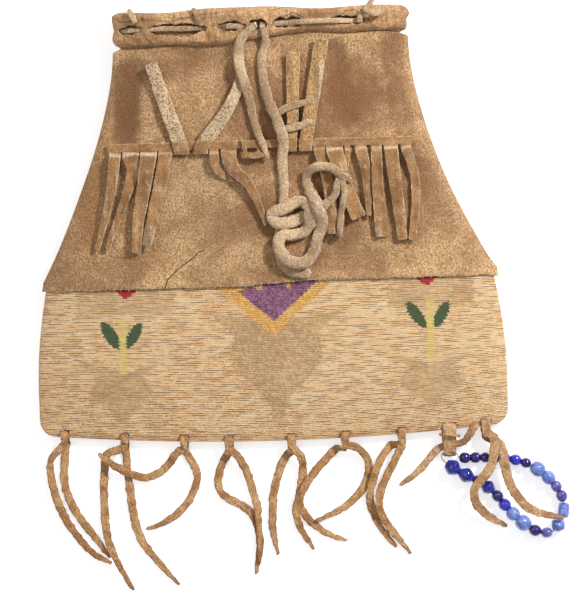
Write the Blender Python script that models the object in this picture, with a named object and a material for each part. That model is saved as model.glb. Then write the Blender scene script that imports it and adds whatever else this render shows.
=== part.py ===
"""Flat bag: a twined corn husk pocket with a buckskin upper, lying on its back.

The origin is on the table under the middle of the woven pocket. X runs to the
right, Y towards the mouth and Z up from the table. Lengths below are in
millimetres, and the meshes are made in metres.
"""

import math

import bmesh
import bpy
from mathutils import Vector
from mathutils.bvhtree import BVHTree

MM = 0.001

# Clearances between pieces
GAP = 0.3
LAID_GAP = 0.4
SEAM_GAP = 0.6

# Woven pocket
POCKET_WIDTH = 306.0
POCKET_BOTTOM = -45.0
POCKET_HEIGHT = 99.0
POCKET_DEPTH = 15.0
POCKET_WALL = 2.0
POCKET_TAPER = 7.5
POCKET_CORNER = 11.0
BOTTOM_BOW = 6.5
HEM_LIFT = 4.6
HEM_THICKNESS = 3.2
HEM_HEIGHT = 7.4
HOLE_RISE = 3.5
ROWS = 45
ROW_RELIEF = 0.5

# Buckskin upper
HIDE_WALL = 1.6
HIDE_LAP = 4.5
HIDE_HEIGHT = 174.0
EDGE_RISE = 3.0
EDGE_FADE = 20.0
MOUTH_WIDTH = 178.0
MOUTH_OPENING = 9.8
MOUTH_SHIFT = -2.0
NECK_TUCK = 7.0
SHOULDER_POWER = 1.6

# Casing round the mouth and the lace that runs in it
CASING_WALL = 1.2
CASING_HEIGHT = 16.5
CASING_SLANT = 6.0
LIP_DEPTH = 3.0
LACE_THICKNESS = 2.8
LACE_PLAY = 0.7
RIM_OVERHANG = 0.8

# Slit fringe on the front
FRINGE_DROP = 82.0
FRINGE_BAND = 5.0
FRINGE_THICKNESS = 1.4

# Thongs in the bottom edge
THONG_WIDTH = 5.6
WIDE_THONG = 7.0
THONG_THICKNESS = 2.0
THONG_PLAY = 0.4
THONG_REACH = 100.0
HANGER_WIDTH = 9.0
HANGER_DROP = 18.0

# Bead string
STRING_THICKNESS = 1.0
BEAD_HOLE = 1.9
BEAD_GAP = 0.35

COLOURS = {
    "husk": ((0.72, 0.50, 0.29), 0.85),
    "buckskin": ((0.52, 0.33, 0.17), 0.9),
    "casing": ((0.60, 0.39, 0.20), 0.9),
    "thong": ((0.42, 0.25, 0.12), 0.85),
    "lace": ((0.62, 0.50, 0.35), 0.85),
    "glass": ((0.02, 0.03, 0.35), 0.08),
    "sinew": ((0.55, 0.45, 0.32), 0.7),
}

# How far across each outline its stations lie, from the middle to the side
POCKET_FRONT = [-1, -0.985, -0.9, -0.6, -0.3, 0, 0.3, 0.6, 0.9, 0.985, 1]
POCKET_BACK = [0.96, -0.96]
HIDE_FRONT = [-1, -0.985, -0.93, -0.84, -0.72, -0.6, -0.48, -0.36, -0.24, -0.12, 0,
              0.12, 0.24, 0.36, 0.48, 0.6, 0.72, 0.84, 0.93, 0.985, 1]
HIDE_BACK = [0.96, 0.5, 0, -0.5, -0.96]
TIP_SHARE = 0.45
SIDE_STRETCH = 1.25

# A laid strip is worked out in fine steps and gets a point where it has turned this far
FINE_STEP = 1.5
TURN_STEP = 0.33

# Soft folds of the upper: place at the mouth, place low down, half width, height
FOLDS = [(-70, -92, 15, 1.7), (-44, -52, 12, -1.3), (-15, -22, 11, 1.4),
         (12, 18, 12, -1.5), (42, 56, 13, 1.5), (70, 90, 11, -1.1)]


def smooth_step(t):
    t = min(1.0, max(0.0, t))
    return t * t * (3 - 2 * t)


def clear_scene():
    for thing in list(bpy.data.objects):
        bpy.data.objects.remove(thing, do_unlink=True)


def material(name):
    colour, roughness = COLOURS[name]
    found = bpy.data.materials.get(name)
    if found:
        return found
    made = bpy.data.materials.new(name)
    made.use_nodes = True
    shader = made.node_tree.nodes["Principled BSDF"]
    shader.inputs["Base Color"].default_value = (*colour, 1)
    shader.inputs["Roughness"].default_value = roughness
    return made


def place(name, mesh_or_curve, finish):
    thing = bpy.data.objects.new(name, mesh_or_curve)
    bpy.context.scene.collection.objects.link(thing)
    thing.data.materials.append(material(finish))
    return thing


def loft(name, loops, finish, cyclic=False, smooth_angle=40):
    """One closed skin through loops of equal length, capped unless cyclic."""
    shape = bmesh.new()
    rings = [[shape.verts.new(Vector(p) * MM) for p in loop] for loop in loops]
    spans = list(zip(rings, rings[1:]))
    if cyclic:
        spans.append((rings[-1], rings[0]))
    for low, high in spans:
        for i in range(len(low)):
            j = (i + 1) % len(low)
            shape.faces.new((low[i], low[j], high[j], high[i]))
    if not cyclic:
        caps = [shape.faces.new(rings[0]), shape.faces.new(rings[-1])]
        bmesh.ops.triangulate(shape, faces=[cap for cap in caps if len(cap.verts) > 4])
    bmesh.ops.recalc_face_normals(shape, faces=shape.faces)
    mesh = bpy.data.meshes.new(name)
    shape.to_mesh(mesh)
    shape.free()
    mesh.shade_smooth()
    mesh.set_sharp_from_angle(angle=math.radians(smooth_angle))
    return place(name, mesh, finish)


def smooth_route(points, step):
    """Points at about equal spacing along a smooth curve through a route."""
    points = [Vector(p) if len(p) < 5 else p for p in points]
    ends = [points[0] * 2 - points[1]] + points + [points[-1] * 2 - points[-2]]
    fine = []
    for a, b, c, d in zip(ends, ends[1:], ends[2:], ends[3:]):
        for k in range(16):
            t = k / 16
            fine.append((b * 2 + (c - a) * t + (a * 2 - b * 5 + c * 4 - d) * t ** 2
                         + (b * 3 - a - c * 3 + d) * t ** 3) / 2)
    fine.append(points[-1])
    runs = [0.0]
    for p, q in zip(fine, fine[1:]):
        runs.append(runs[-1] + (q.xyz - p.xyz).length)
    count = max(2, round(runs[-1] / step) + 1)
    result = []
    at = 0
    for k in range(count):
        want = runs[-1] * k / (count - 1)
        while at < len(runs) - 2 and runs[at + 1] < want:
            at += 1
        share = (want - runs[at]) / max(1e-9, runs[at + 1] - runs[at])
        result.append(fine[at].lerp(fine[at + 1], share))
    return result


class Heights:
    """How high things stand over the table so far, on a grid of squares."""

    CELL = 1.0

    def __init__(self):
        self.cells = {}

    def add(self, thing):
        bpy.context.view_layer.update()
        depsgraph = bpy.context.evaluated_depsgraph_get()
        tree = BVHTree.FromObject(thing, depsgraph)
        xs = [c[0] / MM for c in thing.bound_box]
        ys = [c[1] / MM for c in thing.bound_box]
        for i in range(math.floor(min(xs)), math.ceil(max(xs)) + 1):
            for j in range(math.floor(min(ys)), math.ceil(max(ys)) + 1):
                hit = tree.ray_cast(Vector((i * MM, j * MM, 1)), Vector((0, 0, -1)))[0]
                if hit:
                    self.cells[i, j] = max(self.cells.get((i, j), 0.0), hit.z / MM)

    def around(self, x, y, reach):
        for i in range(math.ceil(x - reach), math.floor(x + reach) + 1):
            for j in range(math.ceil(y - reach), math.floor(y + reach) + 1):
                if (i - x) ** 2 + (j - y) ** 2 <= reach ** 2:
                    yield i, j

    def top(self, x, y, reach):
        return max((self.cells.get(cell, 0.0) for cell in self.around(x, y, reach)), default=0.0)

    def stamp(self, x, y, reach, height):
        for cell in self.around(x, y, reach):
            self.cells[cell] = max(self.cells.get(cell, 0.0), height)


def ease(levels, fine, slope):
    """Raise levels until none is steeper than the slope."""
    for order in (range(1, len(levels)), range(len(levels) - 2, -1, -1)):
        for i in order:
            near = i - 1 if order.step == 1 else i + 1
            run = (fine[i].xy - fine[near].xy).length
            levels[i] = max(levels[i], levels[near] - slope * run)


def pile(levels, fine, slope):
    """Lift a cord over its own earlier turns."""
    for _ in range(4):
        for i, point in enumerate(fine):
            for k in range(i):
                reach = (point.w + fine[k].w) / 2 + LAID_GAP
                aside = (point.xy - fine[k].xy).length
                along = (i - k) * FINE_STEP
                if aside < reach and along > 1.6 * reach:
                    levels[i] = max(levels[i], levels[k] + math.sqrt(reach ** 2 - aside ** 2))
        ease(levels, fine, slope)


def picked(laid, step):
    """Which points of a fine route to keep: more where it turns."""
    picks = [0]
    for k in range(2, len(laid) - 1):
        last = picks[-1]
        run = (laid[k] - laid[last]).length
        turn = (laid[k] - laid[k - 2]).angle(laid[last + 2] - laid[last]) if k > last + 2 else 0
        if run >= step or (turn > TURN_STEP and run > step / 4):
            picks.append(k)
    if (laid[-1] - laid[picks[-1]]).length < step / 4 and len(picks) > 1:
        picks.pop()
    picks.append(len(laid) - 1)
    return picks


def settle(heights, fine, thickness, step, slope, own=False):
    """Lift a fine route of x, y, least height and width clear of what lies below."""
    levels = []
    for point in fine:
        reach = max(1.6, point.w / 2 + 0.9)
        thick = thickness or point.w
        levels.append(max(point.z, heights.top(point.x, point.y, reach) + LAID_GAP + thick / 2))
    ease(levels, fine, slope)
    if own:
        pile(levels, fine, slope)
    picks = picked([Vector((*point.xy, level)) for point, level in zip(fine, levels)], step)
    points = []
    for before, k, after in zip([0] + picks, picks, picks[1:] + [picks[-1]]):
        near = levels[(before + k) // 2:(k + after) // 2 + 1]
        points.append(Vector((fine[k].x, fine[k].y, max(near), fine[k].w)))
    for a, b in zip(points, points[1:]):
        for share in (0, 0.25, 0.5, 0.75, 1):
            spot = a.lerp(b, share)
            heights.stamp(spot.x, spot.y, spot.w / 2 + 0.4, spot.z + (thickness or spot.w) / 2)
    return points


def lay(heights, route, thickness, step, slope=0.45, start=0):
    """Rest a strip on what lies below: route points are x, y, width and lift."""
    fine = smooth_route([Vector((*p[:2], 0, p[2])) for p in route], FINE_STEP)
    fine[0].z = start
    return settle(heights, fine, thickness, step, slope)


def strip_loops(points, thickness):
    """Four-cornered loops of a flat strip; points are x, y, z and width."""
    loops = []
    side = None
    last = len(points) - 1
    for i, point in enumerate(points):
        along = (points[min(i + 1, last)].xyz - points[max(i - 1, 0)].xyz).normalized()
        flat = Vector((along.y, -along.x, 0))
        if side is None or flat.length > 0.35:
            turned = flat.normalized() if flat.length > 1e-6 else Vector((1, 0, 0))
            if side is not None and turned.dot(side) < 0:
                turned = -turned
            side = turned
        across = (side - along * side.dot(along)).normalized()
        thick = across.cross(along) * thickness / 2
        half = across * point.w / 2
        loops.append([point.xyz + half + thick, point.xyz - half + thick,
                      point.xyz - half - thick, point.xyz + half - thick])
    return loops


def strip(name, points, thickness, finish, cyclic=False):
    if not cyclic:
        return loft(name, strip_loops(points, thickness), finish, smooth_angle=50)
    wrapped = [points[-1]] + points + [points[0]]
    return loft(name, strip_loops(wrapped, thickness)[1:-1], finish, cyclic=True, smooth_angle=50)


def cord(name, points, thickness, finish, resolution=2):
    """A round cord as a curve; points are x, y, z and thickness there."""
    data = bpy.data.curves.new(name, "CURVE")
    data.dimensions = "3D"
    data.bevel_depth = thickness / 2 * MM
    data.bevel_resolution = resolution
    data.use_fill_caps = True
    line = data.splines.new("POLY")
    line.points.add(len(points) - 1)
    for spot, point in zip(line.points, points):
        spot.co = (point.x * MM, point.y * MM, point.z * MM, 1)
        spot.radius = point.w / thickness
    return place(name, data, finish)


def cut(target, name, outlines):
    """Cut upright prisms, given as outlines with a low and a high end."""
    shape = bmesh.new()
    for outline, low, high in outlines:
        foot = [shape.verts.new(Vector((x, y, low)) * MM) for x, y in outline]
        head = [shape.verts.new(Vector((x, y, high)) * MM) for x, y in outline]
        shape.faces.new(list(reversed(foot)))
        shape.faces.new(head)
        for i in range(len(foot)):
            j = (i + 1) % len(foot)
            shape.faces.new((foot[i], foot[j], head[j], head[i]))
    mesh = bpy.data.meshes.new(name)
    shape.to_mesh(mesh)
    shape.free()
    cutter = bpy.data.objects.new(name, mesh)
    cutter.hide_render = True
    cutter.display_type = "WIRE"
    bpy.context.scene.collection.objects.link(cutter)
    hole = target.modifiers.new(name, "BOOLEAN")
    hole.operation = "DIFFERENCE"
    hole.solver = "EXACT"
    hole.object = cutter


def section(half_width, low, high, front, back, lift=None):
    """A flattened outline across the bag: domed front, flat back."""
    tip = low + TIP_SHARE * (high - low)
    points = []
    for u in front:
        rise = (high - tip) * math.sqrt(max(0.0, 1 - u ** 4))
        fold = lift(u) if lift and abs(u) < 1 else 0.0
        points.append((half_width * u, tip + rise + fold * math.sqrt(max(0.0, 1 - u ** 4))))
    points += [(half_width * u, low) for u in back]
    return points


# Woven pocket

def pocket_half_width(y):
    swell = max(0.0, (y - POCKET_BOTTOM) / POCKET_HEIGHT - 0.3) / 0.7
    half = POCKET_WIDTH / 2 - POCKET_TAPER * swell ** 2
    rise = y - POCKET_BOTTOM
    if rise < POCKET_CORNER:
        half -= POCKET_CORNER - math.sqrt(POCKET_CORNER ** 2 - (POCKET_CORNER - rise) ** 2)
    return half


def pocket_front(s):
    closed = HEM_LIFT + HEM_THICKNESS
    return closed + (POCKET_DEPTH - closed) * math.sin(math.pi / 2 * min(1.0, s / 0.45))


def pocket_back(s):
    rise = HEM_LIFT * max(0.0, 1 - s / 0.13) ** 2
    return rise + (HIDE_WALL + SEAM_GAP) * smooth_step((s - 0.84) / 0.1)


def row_height(u, s):
    return POCKET_BOTTOM + POCKET_HEIGHT * s - BOTTOM_BOW * (1 - s) * (1 - u * u)


def pocket_loop(s, inset=0.0, relief=0.0):
    half = pocket_half_width(POCKET_BOTTOM + POCKET_HEIGHT * s)
    low = pocket_back(s) + inset
    high = pocket_front(s) - inset
    outline = section(half - SIDE_STRETCH * inset + relief / 2, low, high, POCKET_FRONT, POCKET_BACK)
    us = POCKET_FRONT + POCKET_BACK
    loop = []
    for i, (u, (x, z)) in enumerate(zip(us, outline)):
        bump = relief if i < len(POCKET_FRONT) and abs(u) < 0.95 else 0.0
        loop.append((x, row_height(u, s), z + bump))
    return loop


def husk_pocket():
    loops = []
    for k in range(2 * ROWS + 1):
        relief = ROW_RELIEF / 2 if k % 2 else -ROW_RELIEF / 2
        loops.append(pocket_loop(k / (2 * ROWS), relief=relief))
    floor = HEM_HEIGHT / POCKET_HEIGHT
    for s in (1.0, 0.8, 0.55, 0.35, 0.18, floor):
        loops.append(pocket_loop(s, inset=POCKET_WALL))
    return loft("husk_pocket", loops, "husk", smooth_angle=20)


def edge_height(x):
    """Height on the table of the pocket's bottom edge at x."""
    half = pocket_half_width(POCKET_BOTTOM)
    u = max(-1.0, min(1.0, x / half))
    return row_height(u, 0)


def hem_at(x):
    """Back and front of the pocket's hem, over the thong holes at x."""
    s = HOLE_RISE / POCKET_HEIGHT
    half = pocket_half_width(POCKET_BOTTOM + HOLE_RISE)
    low = pocket_back(s)
    high = pocket_front(s)
    tip = low + TIP_SHARE * (high - low)
    u = min(1.0, abs(x) / half)
    return low, tip + (high - tip) * math.sqrt(1 - u ** 4) + ROW_RELIEF / 2


# Buckskin upper

HIDE_BOTTOM = POCKET_BOTTOM + POCKET_HEIGHT - HIDE_LAP
LAP_TOP = POCKET_BOTTOM + POCKET_HEIGHT + 1.5
MOUTH_TOP = HIDE_BOTTOM + HIDE_HEIGHT
CAVITY = LACE_THICKNESS + 2 * LACE_PLAY
CASING_OUT = GAP + CAVITY + CASING_WALL
MOUTH_LOW = CASING_OUT + RIM_OVERHANG + 0.1
MOUTH_HIGH = MOUTH_LOW + 2 * HIDE_WALL + MOUTH_OPENING
CASING_FOOT = MOUTH_TOP - CASING_HEIGHT


def hide_half_width(y, right_side=False):
    """Half the upper's width at a height; each side tucks in just below the casing's foot."""
    lap = pocket_half_width(min(y, LAP_TOP - 1.5)) + SEAM_GAP + HIDE_WALL * SIDE_STRETCH
    if y <= LAP_TOP:
        return lap
    share = max(0.0, (CASING_FOOT - y) / (CASING_FOOT - LAP_TOP))
    shoulder = MOUTH_WIDTH / 2 + NECK_TUCK
    foot = CASING_FOOT + CASING_SLANT if right_side else CASING_FOOT
    tuck = NECK_TUCK * smooth_step((y - foot + 6) / 4.5)
    return shoulder + (lap - shoulder) * share ** SHOULDER_POWER - tuck


def edge_rise(x, y):
    """How far the upper's lower edge climbs to the right; nothing higher up."""
    return EDGE_RISE * smooth_step((x + 30) / 60) * (1 - smooth_step((y - HIDE_BOTTOM) / EDGE_FADE))


def hide_shift(y):
    return MOUTH_SHIFT * smooth_step((y - LAP_TOP) / (MOUTH_TOP - LAP_TOP) * 2.5)


def hide_back(y):
    return MOUTH_LOW * smooth_step((y - CASING_FOOT + 22) / 16)


def hide_front(y):
    low = POCKET_DEPTH + SEAM_GAP + HIDE_WALL
    return low + (MOUTH_HIGH - low) * smooth_step((y - LAP_TOP) / (MOUTH_TOP - LAP_TOP - 20))


def fold_height(x, y):
    rise = smooth_step((y - LAP_TOP - 12) / (CASING_FOOT - LAP_TOP - 22))
    along = smooth_step((y - LAP_TOP) / (CASING_FOOT - LAP_TOP))
    total = 0.0
    for at_mouth, low_down, half, height in FOLDS:
        centre = low_down + (at_mouth - low_down) * along
        total += height * math.exp(-((x - centre) / half) ** 2)
    return total * rise


def hide_loop(y, out=0.0):
    """The upper's outline at height y, moved out by a distance."""
    half = hide_half_width(y)
    wider = hide_half_width(y, right_side=True) / half
    shift = hide_shift(y)
    outline = section(half + SIDE_STRETCH * out, hide_back(y) - out, hide_front(y) + out,
                      HIDE_FRONT, HIDE_BACK, lambda u: fold_height(half * u + shift, y))
    loop = []
    for x, z in outline:
        across = x * (wider if x > 0 else 1) + shift
        loop.append((across, y + edge_rise(across, y), z))
    return loop


def hide_upper():
    steps = [0, 0.026, 0.08, 0.16, 0.25, 0.34, 0.43, 0.52, 0.61, 0.7, 0.78, 0.84, 0.875,
             0.885, 0.9, 0.91, 0.93, 1]
    heights = [HIDE_BOTTOM + HIDE_HEIGHT * s for s in steps]
    outer = [hide_loop(y) for y in heights]
    inner = [hide_loop(y, -HIDE_WALL) for y in reversed(heights[:3] + heights[4::2])]
    return loft("hide_upper", outer + inner, "buckskin", cyclic=True)


# Casing: a strip folded over the mouth, slit where the lace shows

def rim_rise(u):
    return 1.1 * math.cos(5.2 * u + 0.6) + 0.5 * math.sin(11 * u)


def casing_profile(u):
    """Height and distance out from the upper, going once round the strip."""
    top = MOUTH_TOP
    foot = CASING_FOOT + CASING_SLANT * smooth_step((u + 0.2) / 0.4) - 0.6 * (1 + math.sin(13 * u))
    rim = rim_rise(u)
    inside = HIDE_WALL + GAP
    lip = inside + CASING_WALL
    cavity = GAP + CAVITY
    return [(foot, GAP), (foot, GAP + CASING_WALL), (foot + 2.6, CASING_OUT), (top - 1, CASING_OUT),
            (top + 0.8, CASING_OUT + RIM_OVERHANG), (top + 3.6 + rim, CASING_OUT + 0.4), (top + 5.6 + rim, 3.4),
            (top + 6.1 + rim, 1.0), (top + 5.1 + rim, -1.8), (top + 2.5, -lip - 0.2), (top - LIP_DEPTH, -lip),
            (top - LIP_DEPTH, -inside), (top + GAP, -inside), (top + GAP, GAP), (top - 0.5, GAP),
            (top - 0.5, cavity), (foot + 3.6, cavity)]


def mouth_point(place, is_front, y, out):
    """A point over the upper at the mouth, at share place across it."""
    half = MOUTH_WIDTH / 2
    fold = fold_height(half * place + MOUTH_SHIFT, MOUTH_TOP) if is_front and abs(place) < 1 else 0.0
    low = MOUTH_LOW - out
    high = MOUTH_HIGH + out
    tip = low + TIP_SHARE * (high - low)
    round_off = math.sqrt(max(0.0, 1 - place ** 4))
    z = tip + (high - tip + fold) * round_off if is_front else low
    return Vector(((half + SIDE_STRETCH * out) * place + MOUTH_SHIFT, y, z))


# Slits in the casing's front: middle and half length as shares of half the mouth, reach below and above the lace
SLITS = [(-0.94, 0.09, 3.1, 3.1), (-0.6, 0.22, 6.2, 3.6), (-0.205, 0.108, 3.0, 4.0), (-0.015, 0.07, 3.6, 4.2),
         (0.2, 0.115, 3.4, 4.2), (0.63, 0.14, 2.6, 3.8)]


def lace_height(u):
    """Height of the lace in the casing, which narrows to the right."""
    return MOUTH_TOP - 6.3 + 1.8 * smooth_step((u + 0.2) / 0.4)


def mouth_casing():
    stations = [(u, True) for u in HIDE_FRONT] + [(u, False) for u in HIDE_BACK]
    loops = []
    for u, is_front in stations:
        loops.append([mouth_point(u, is_front, y, out) for y, out in casing_profile(u)])
    thing = loft("mouth_casing", loops, "casing", cyclic=True, smooth_angle=50)
    prisms = []
    for share, half_share, below, above in SLITS:
        middle = mouth_point(share, True, lace_height(share), 0)
        half_length = half_share * MOUTH_WIDTH / 2
        outline = []
        for k in range(12):
            turn = 2 * math.pi * k / 12
            reach = above if math.sin(turn) > 0 else below
            outline.append((middle.x + half_length * math.cos(turn), middle.y + reach * math.sin(turn)))
        ends = [mouth_point(max(-1, share + side * half_share), True, 0, 0).z for side in (-1, 0, 1)]
        prisms.append((outline, min(ends) + 1.5, max(ends) + CASING_OUT + 3))
    cut(thing, "slits", prisms)
    return thing


# Lace: share across the mouth and distance out, going once round
INSIDE = GAP + CAVITY / 2
OUTSIDE = CASING_OUT + LAID_GAP + LACE_THICKNESS / 2
LACE_FRONT_LEFT = [(-1.0, INSIDE), (-0.985, INSIDE), (-0.93, 2.8), (-0.86, INSIDE), (-0.78, INSIDE),
                   (-0.7, 2.9), (-0.6, 3.4), (-0.5, 2.9), (-0.4, INSIDE), (-0.32, INSIDE), (-0.27, 3.0),
                   (-0.235, 5.6), (-0.2, OUTSIDE), (-0.165, 5.6), (-0.13, 3.0), (-0.08, INSIDE), (-0.045, 3.2)]
LACE_FRONT_RIGHT = [(0.015, 3.2), (0.06, INSIDE), (0.1, INSIDE + 0.2), (0.15, 3.2), (0.2, 4.4),
                    (0.255, 6.8), (0.3, OUTSIDE), (0.36, OUTSIDE), (0.42, OUTSIDE), (0.48, OUTSIDE),
                    (0.53, 6.8), (0.59, 4.4), (0.66, 3.2), (0.72, INSIDE), (0.84, INSIDE), (0.93, INSIDE),
                    (0.985, INSIDE), (1.0, INSIDE)]
LACE_BACK = [(0.96, INSIDE), (0.75, INSIDE), (0.5, INSIDE), (0.25, INSIDE), (0, INSIDE), (-0.25, INSIDE),
             (-0.5, INSIDE), (-0.75, INSIDE), (-0.96, INSIDE)]

# Tails of the lace: x, y from the exit slit and thickness
LEFT_TAIL = [(-4, -3.5, 3.8), (-9.5, -9, 5), (-12, -19, 5.6), (-10.5, -30, 5.4), (-7.5, -40, 5),
             (-5, -50, 4.6), (-3.5, -60, 4.4), (-0.5, -70, 4), (3, -79, 3.2), (5.5, -87, 2.2)]
RIGHT_TAIL = [(2, -9, 3.8), (-0.5, -17, 4.6), (-1, -28, 5), (1, -40.5, 5.2), (4, -51, 5.2), (8, -61, 5.4),
              (11.5, -73, 5.6), (10.5, -85.5, 5.4), (11, -97.5, 5.2), (11, -107.5, 5), (10, -118, 5),
              (8, -130, 5), (7.5, -140.5, 5.2), (8, -149.5, 5.6), (12, -156, 5.8), (19, -159, 6), (27.5, -159.5, 5.8)]


def lace_tail(heights, exit_at, offsets):
    route = [exit_at]
    for dx, dy, thickness in offsets:
        route.append(Vector((exit_at.x + dx, exit_at.y + dy, 0, thickness)))
    fine = smooth_route(route, FINE_STEP)
    for point in fine[1:]:
        point.z = 0
    return settle(heights, fine, None, 9, 0.6)


def drawstring(heights):
    def ring_part(places, is_front):
        part = [mouth_point(u, is_front, lace_height(u), out) for u, out in reversed(places)]
        return [Vector((*p, LACE_THICKNESS)) for p in part]

    ring = ring_part(LACE_FRONT_LEFT, True) + ring_part(LACE_BACK, False) + ring_part(LACE_FRONT_RIGHT, True)
    narrow = LACE_THICKNESS * 1.05
    out_left = Vector((*mouth_point(-0.025, True, lace_height(-0.025), OUTSIDE), narrow))
    out_right = Vector((*mouth_point(0.015, True, lace_height(0) - 1.5, OUTSIDE), narrow))
    left = lace_tail(heights, out_left, LEFT_TAIL)
    right = lace_tail(heights, out_right, RIGHT_TAIL)
    points = list(reversed(left)) + ring + right
    return cord("drawstring", points, LACE_THICKNESS, "lace")


# Thong knotted round the lace's end: x, y from the knot's middle and thickness
KNOT_ROUTE = [(31.5, -1, 2.6), (31.5, 5.5, 3.4), (32.5, 14, 3.6), (34, 22, 3.6), (35, 28.5, 3.6), (33.5, 34.5, 3.6),
              (31.5, 36, 3.6), (30, 33, 3.8), (29.5, 28, 4.2), (26, 23, 4.6), (20.5, 19, 5.9), (14.5, 15.5, 6.6),
              (8.5, 13, 7), (2, 10.5, 7), (-5.5, 9, 7), (-11, 10.5, 6.8), (-12.5, 14.5, 6.6), (-9, 17.5, 6.6),
              (-4, 18.5, 6.8), (2, 22, 6.8), (7.5, 23, 7), (11.5, 20, 7), (12.5, 14.5, 7), (12, 8.5, 6.8),
              (9, 4, 6.6), (1.5, 1.5, 6.8), (-5, 1.5, 6.8), (-8.5, -3.5, 6.8), (-6.5, -10.5, 7), (-1, -15.5, 7),
              (6, -17, 7), (11.5, -14, 7), (15, -8, 6.8), (16.5, -1.5, 6.6), (19, 4.5, 6.6), (20, 11, 6.6),
              (18, 17.5, 6.6), (15.5, 24, 6.4), (12, 31.5, 5.6), (11, 38, 5.4), (14, 43.5, 5.2), (20, 45, 5.2),
              (26.5, 44, 5), (32, 40, 4.6), (37, 37, 4), (40.5, 35, 2.8)]
KNOT_DROP = 143.0


def knot_thong(heights, exit_at):
    middle = Vector((exit_at.x + 14.5, MOUTH_TOP - KNOT_DROP))
    route = [Vector((middle.x + dx, middle.y + dy, 0, thickness)) for dx, dy, thickness in KNOT_ROUTE]
    points = settle(heights, smooth_route(route, FINE_STEP), None, 7, 0.75, own=True)
    return cord("knot_thong", points, LACE_THICKNESS, "lace")


# Fringe: one strip slit into strands. Each has its two edges on the band, then x, y and width.
# Values run from the band's left end and its lower edge.
STRANDS = [
    ((1.0, 8.7), [(3.5, -16, 7), (-1.5, -40, 4.5), (-8.5, -63, 3.3)], False),
    ((9.5, 20.5), [(16.5, -15, 7.5), (7, -40, 4.5), (-2.0, -63, 3.3)], False),
    ((21.3, 32), [(23.5, -24, 9), (18.8, -44, 7.5), (17, -66, 6)], False),
    ((33, 42), [(33.5, -24, 8.5), (28, -44, 7.5), (23.5, -62, 6.5)], False),
    ((43, 53), [(47, 6, 9.5), (41, 22, 9.2), (35.5, 38, 9), (30, 56, 8.2)], True),
    ((56, 65), [(65, 8, 9), (76, 20, 8.5), (85, 34, 7), (89.5, 52, 5.5)], True),
    ((66, 72), [(69, -11, 5.5), (74, -18, 4.5), (86, -20.5, 3)], False),
    ((73.5, 83.5), [(81, -15, 8), (89, -19, 7), (94, -29, 5.5), (98, -38, 4), (101, -50, 2)], False),
    ((97, 102), [(98, -3.5, 4.5), (92.5, -6.5, 4), (88.5, -2, 2.6), (87, 6, 1.6)], False),
    ((116.5, 122.5), [(120.5, 16, 7.2), (121, 38, 8.2), (122, 61, 9)], True),
    ((124, 132.5), [(131, 16, 8.6), (135.5, 42, 9), (140.5, 69, 9)], True),
    ((133.5, 140.5), [(143, -23, 7.5), (144, -40, 7.5), (144.5, -57, 7)], False),
    ((141.5, 152.5), [(148.5, -14, 9.5), (155, -31, 9), (161.5, -47, 10)], False),
    ((153.5, 157), [(153, -18, 3.8), (151, -39, 4), (148.5, -59, 4)], False),
    ((160, 167.5), [(167, -13, 7), (167.5, -28, 5), (168, -46, 3)], False),
    ((170.5, 177.5), [(174, -20, 7), (175, -40, 8), (176.5, -60, 8.3)], False),
    ((179, 188), [(185, -20, 8.3), (187.5, -41, 7.5), (189.5, -62, 6.3)], False),
    ((190, 196.5), [(198.5, -16, 6), (199.5, -34, 5.5), (195.5, -62, 4.6)], False),
]
FRINGE_WIDTH = 197.5
FRINGE_LEFT = -103.0
LAY_ORDER = [13, 11, 14, 12, 15, 16, 17, 0, 1, 3, 2, 6, 7, 8, 4, 5, 9, 10]


def turn_over(first, band_low, radius):
    """Points of a strand that turns over and comes back above itself."""
    points = []
    for k in range(1, 5):
        angle = math.pi * k / 4
        points.append(Vector((first.x, band_low - 1.5 - radius * math.sin(angle),
                              first.z + radius * (1 - math.cos(angle)), first.w)))
    return points


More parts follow.
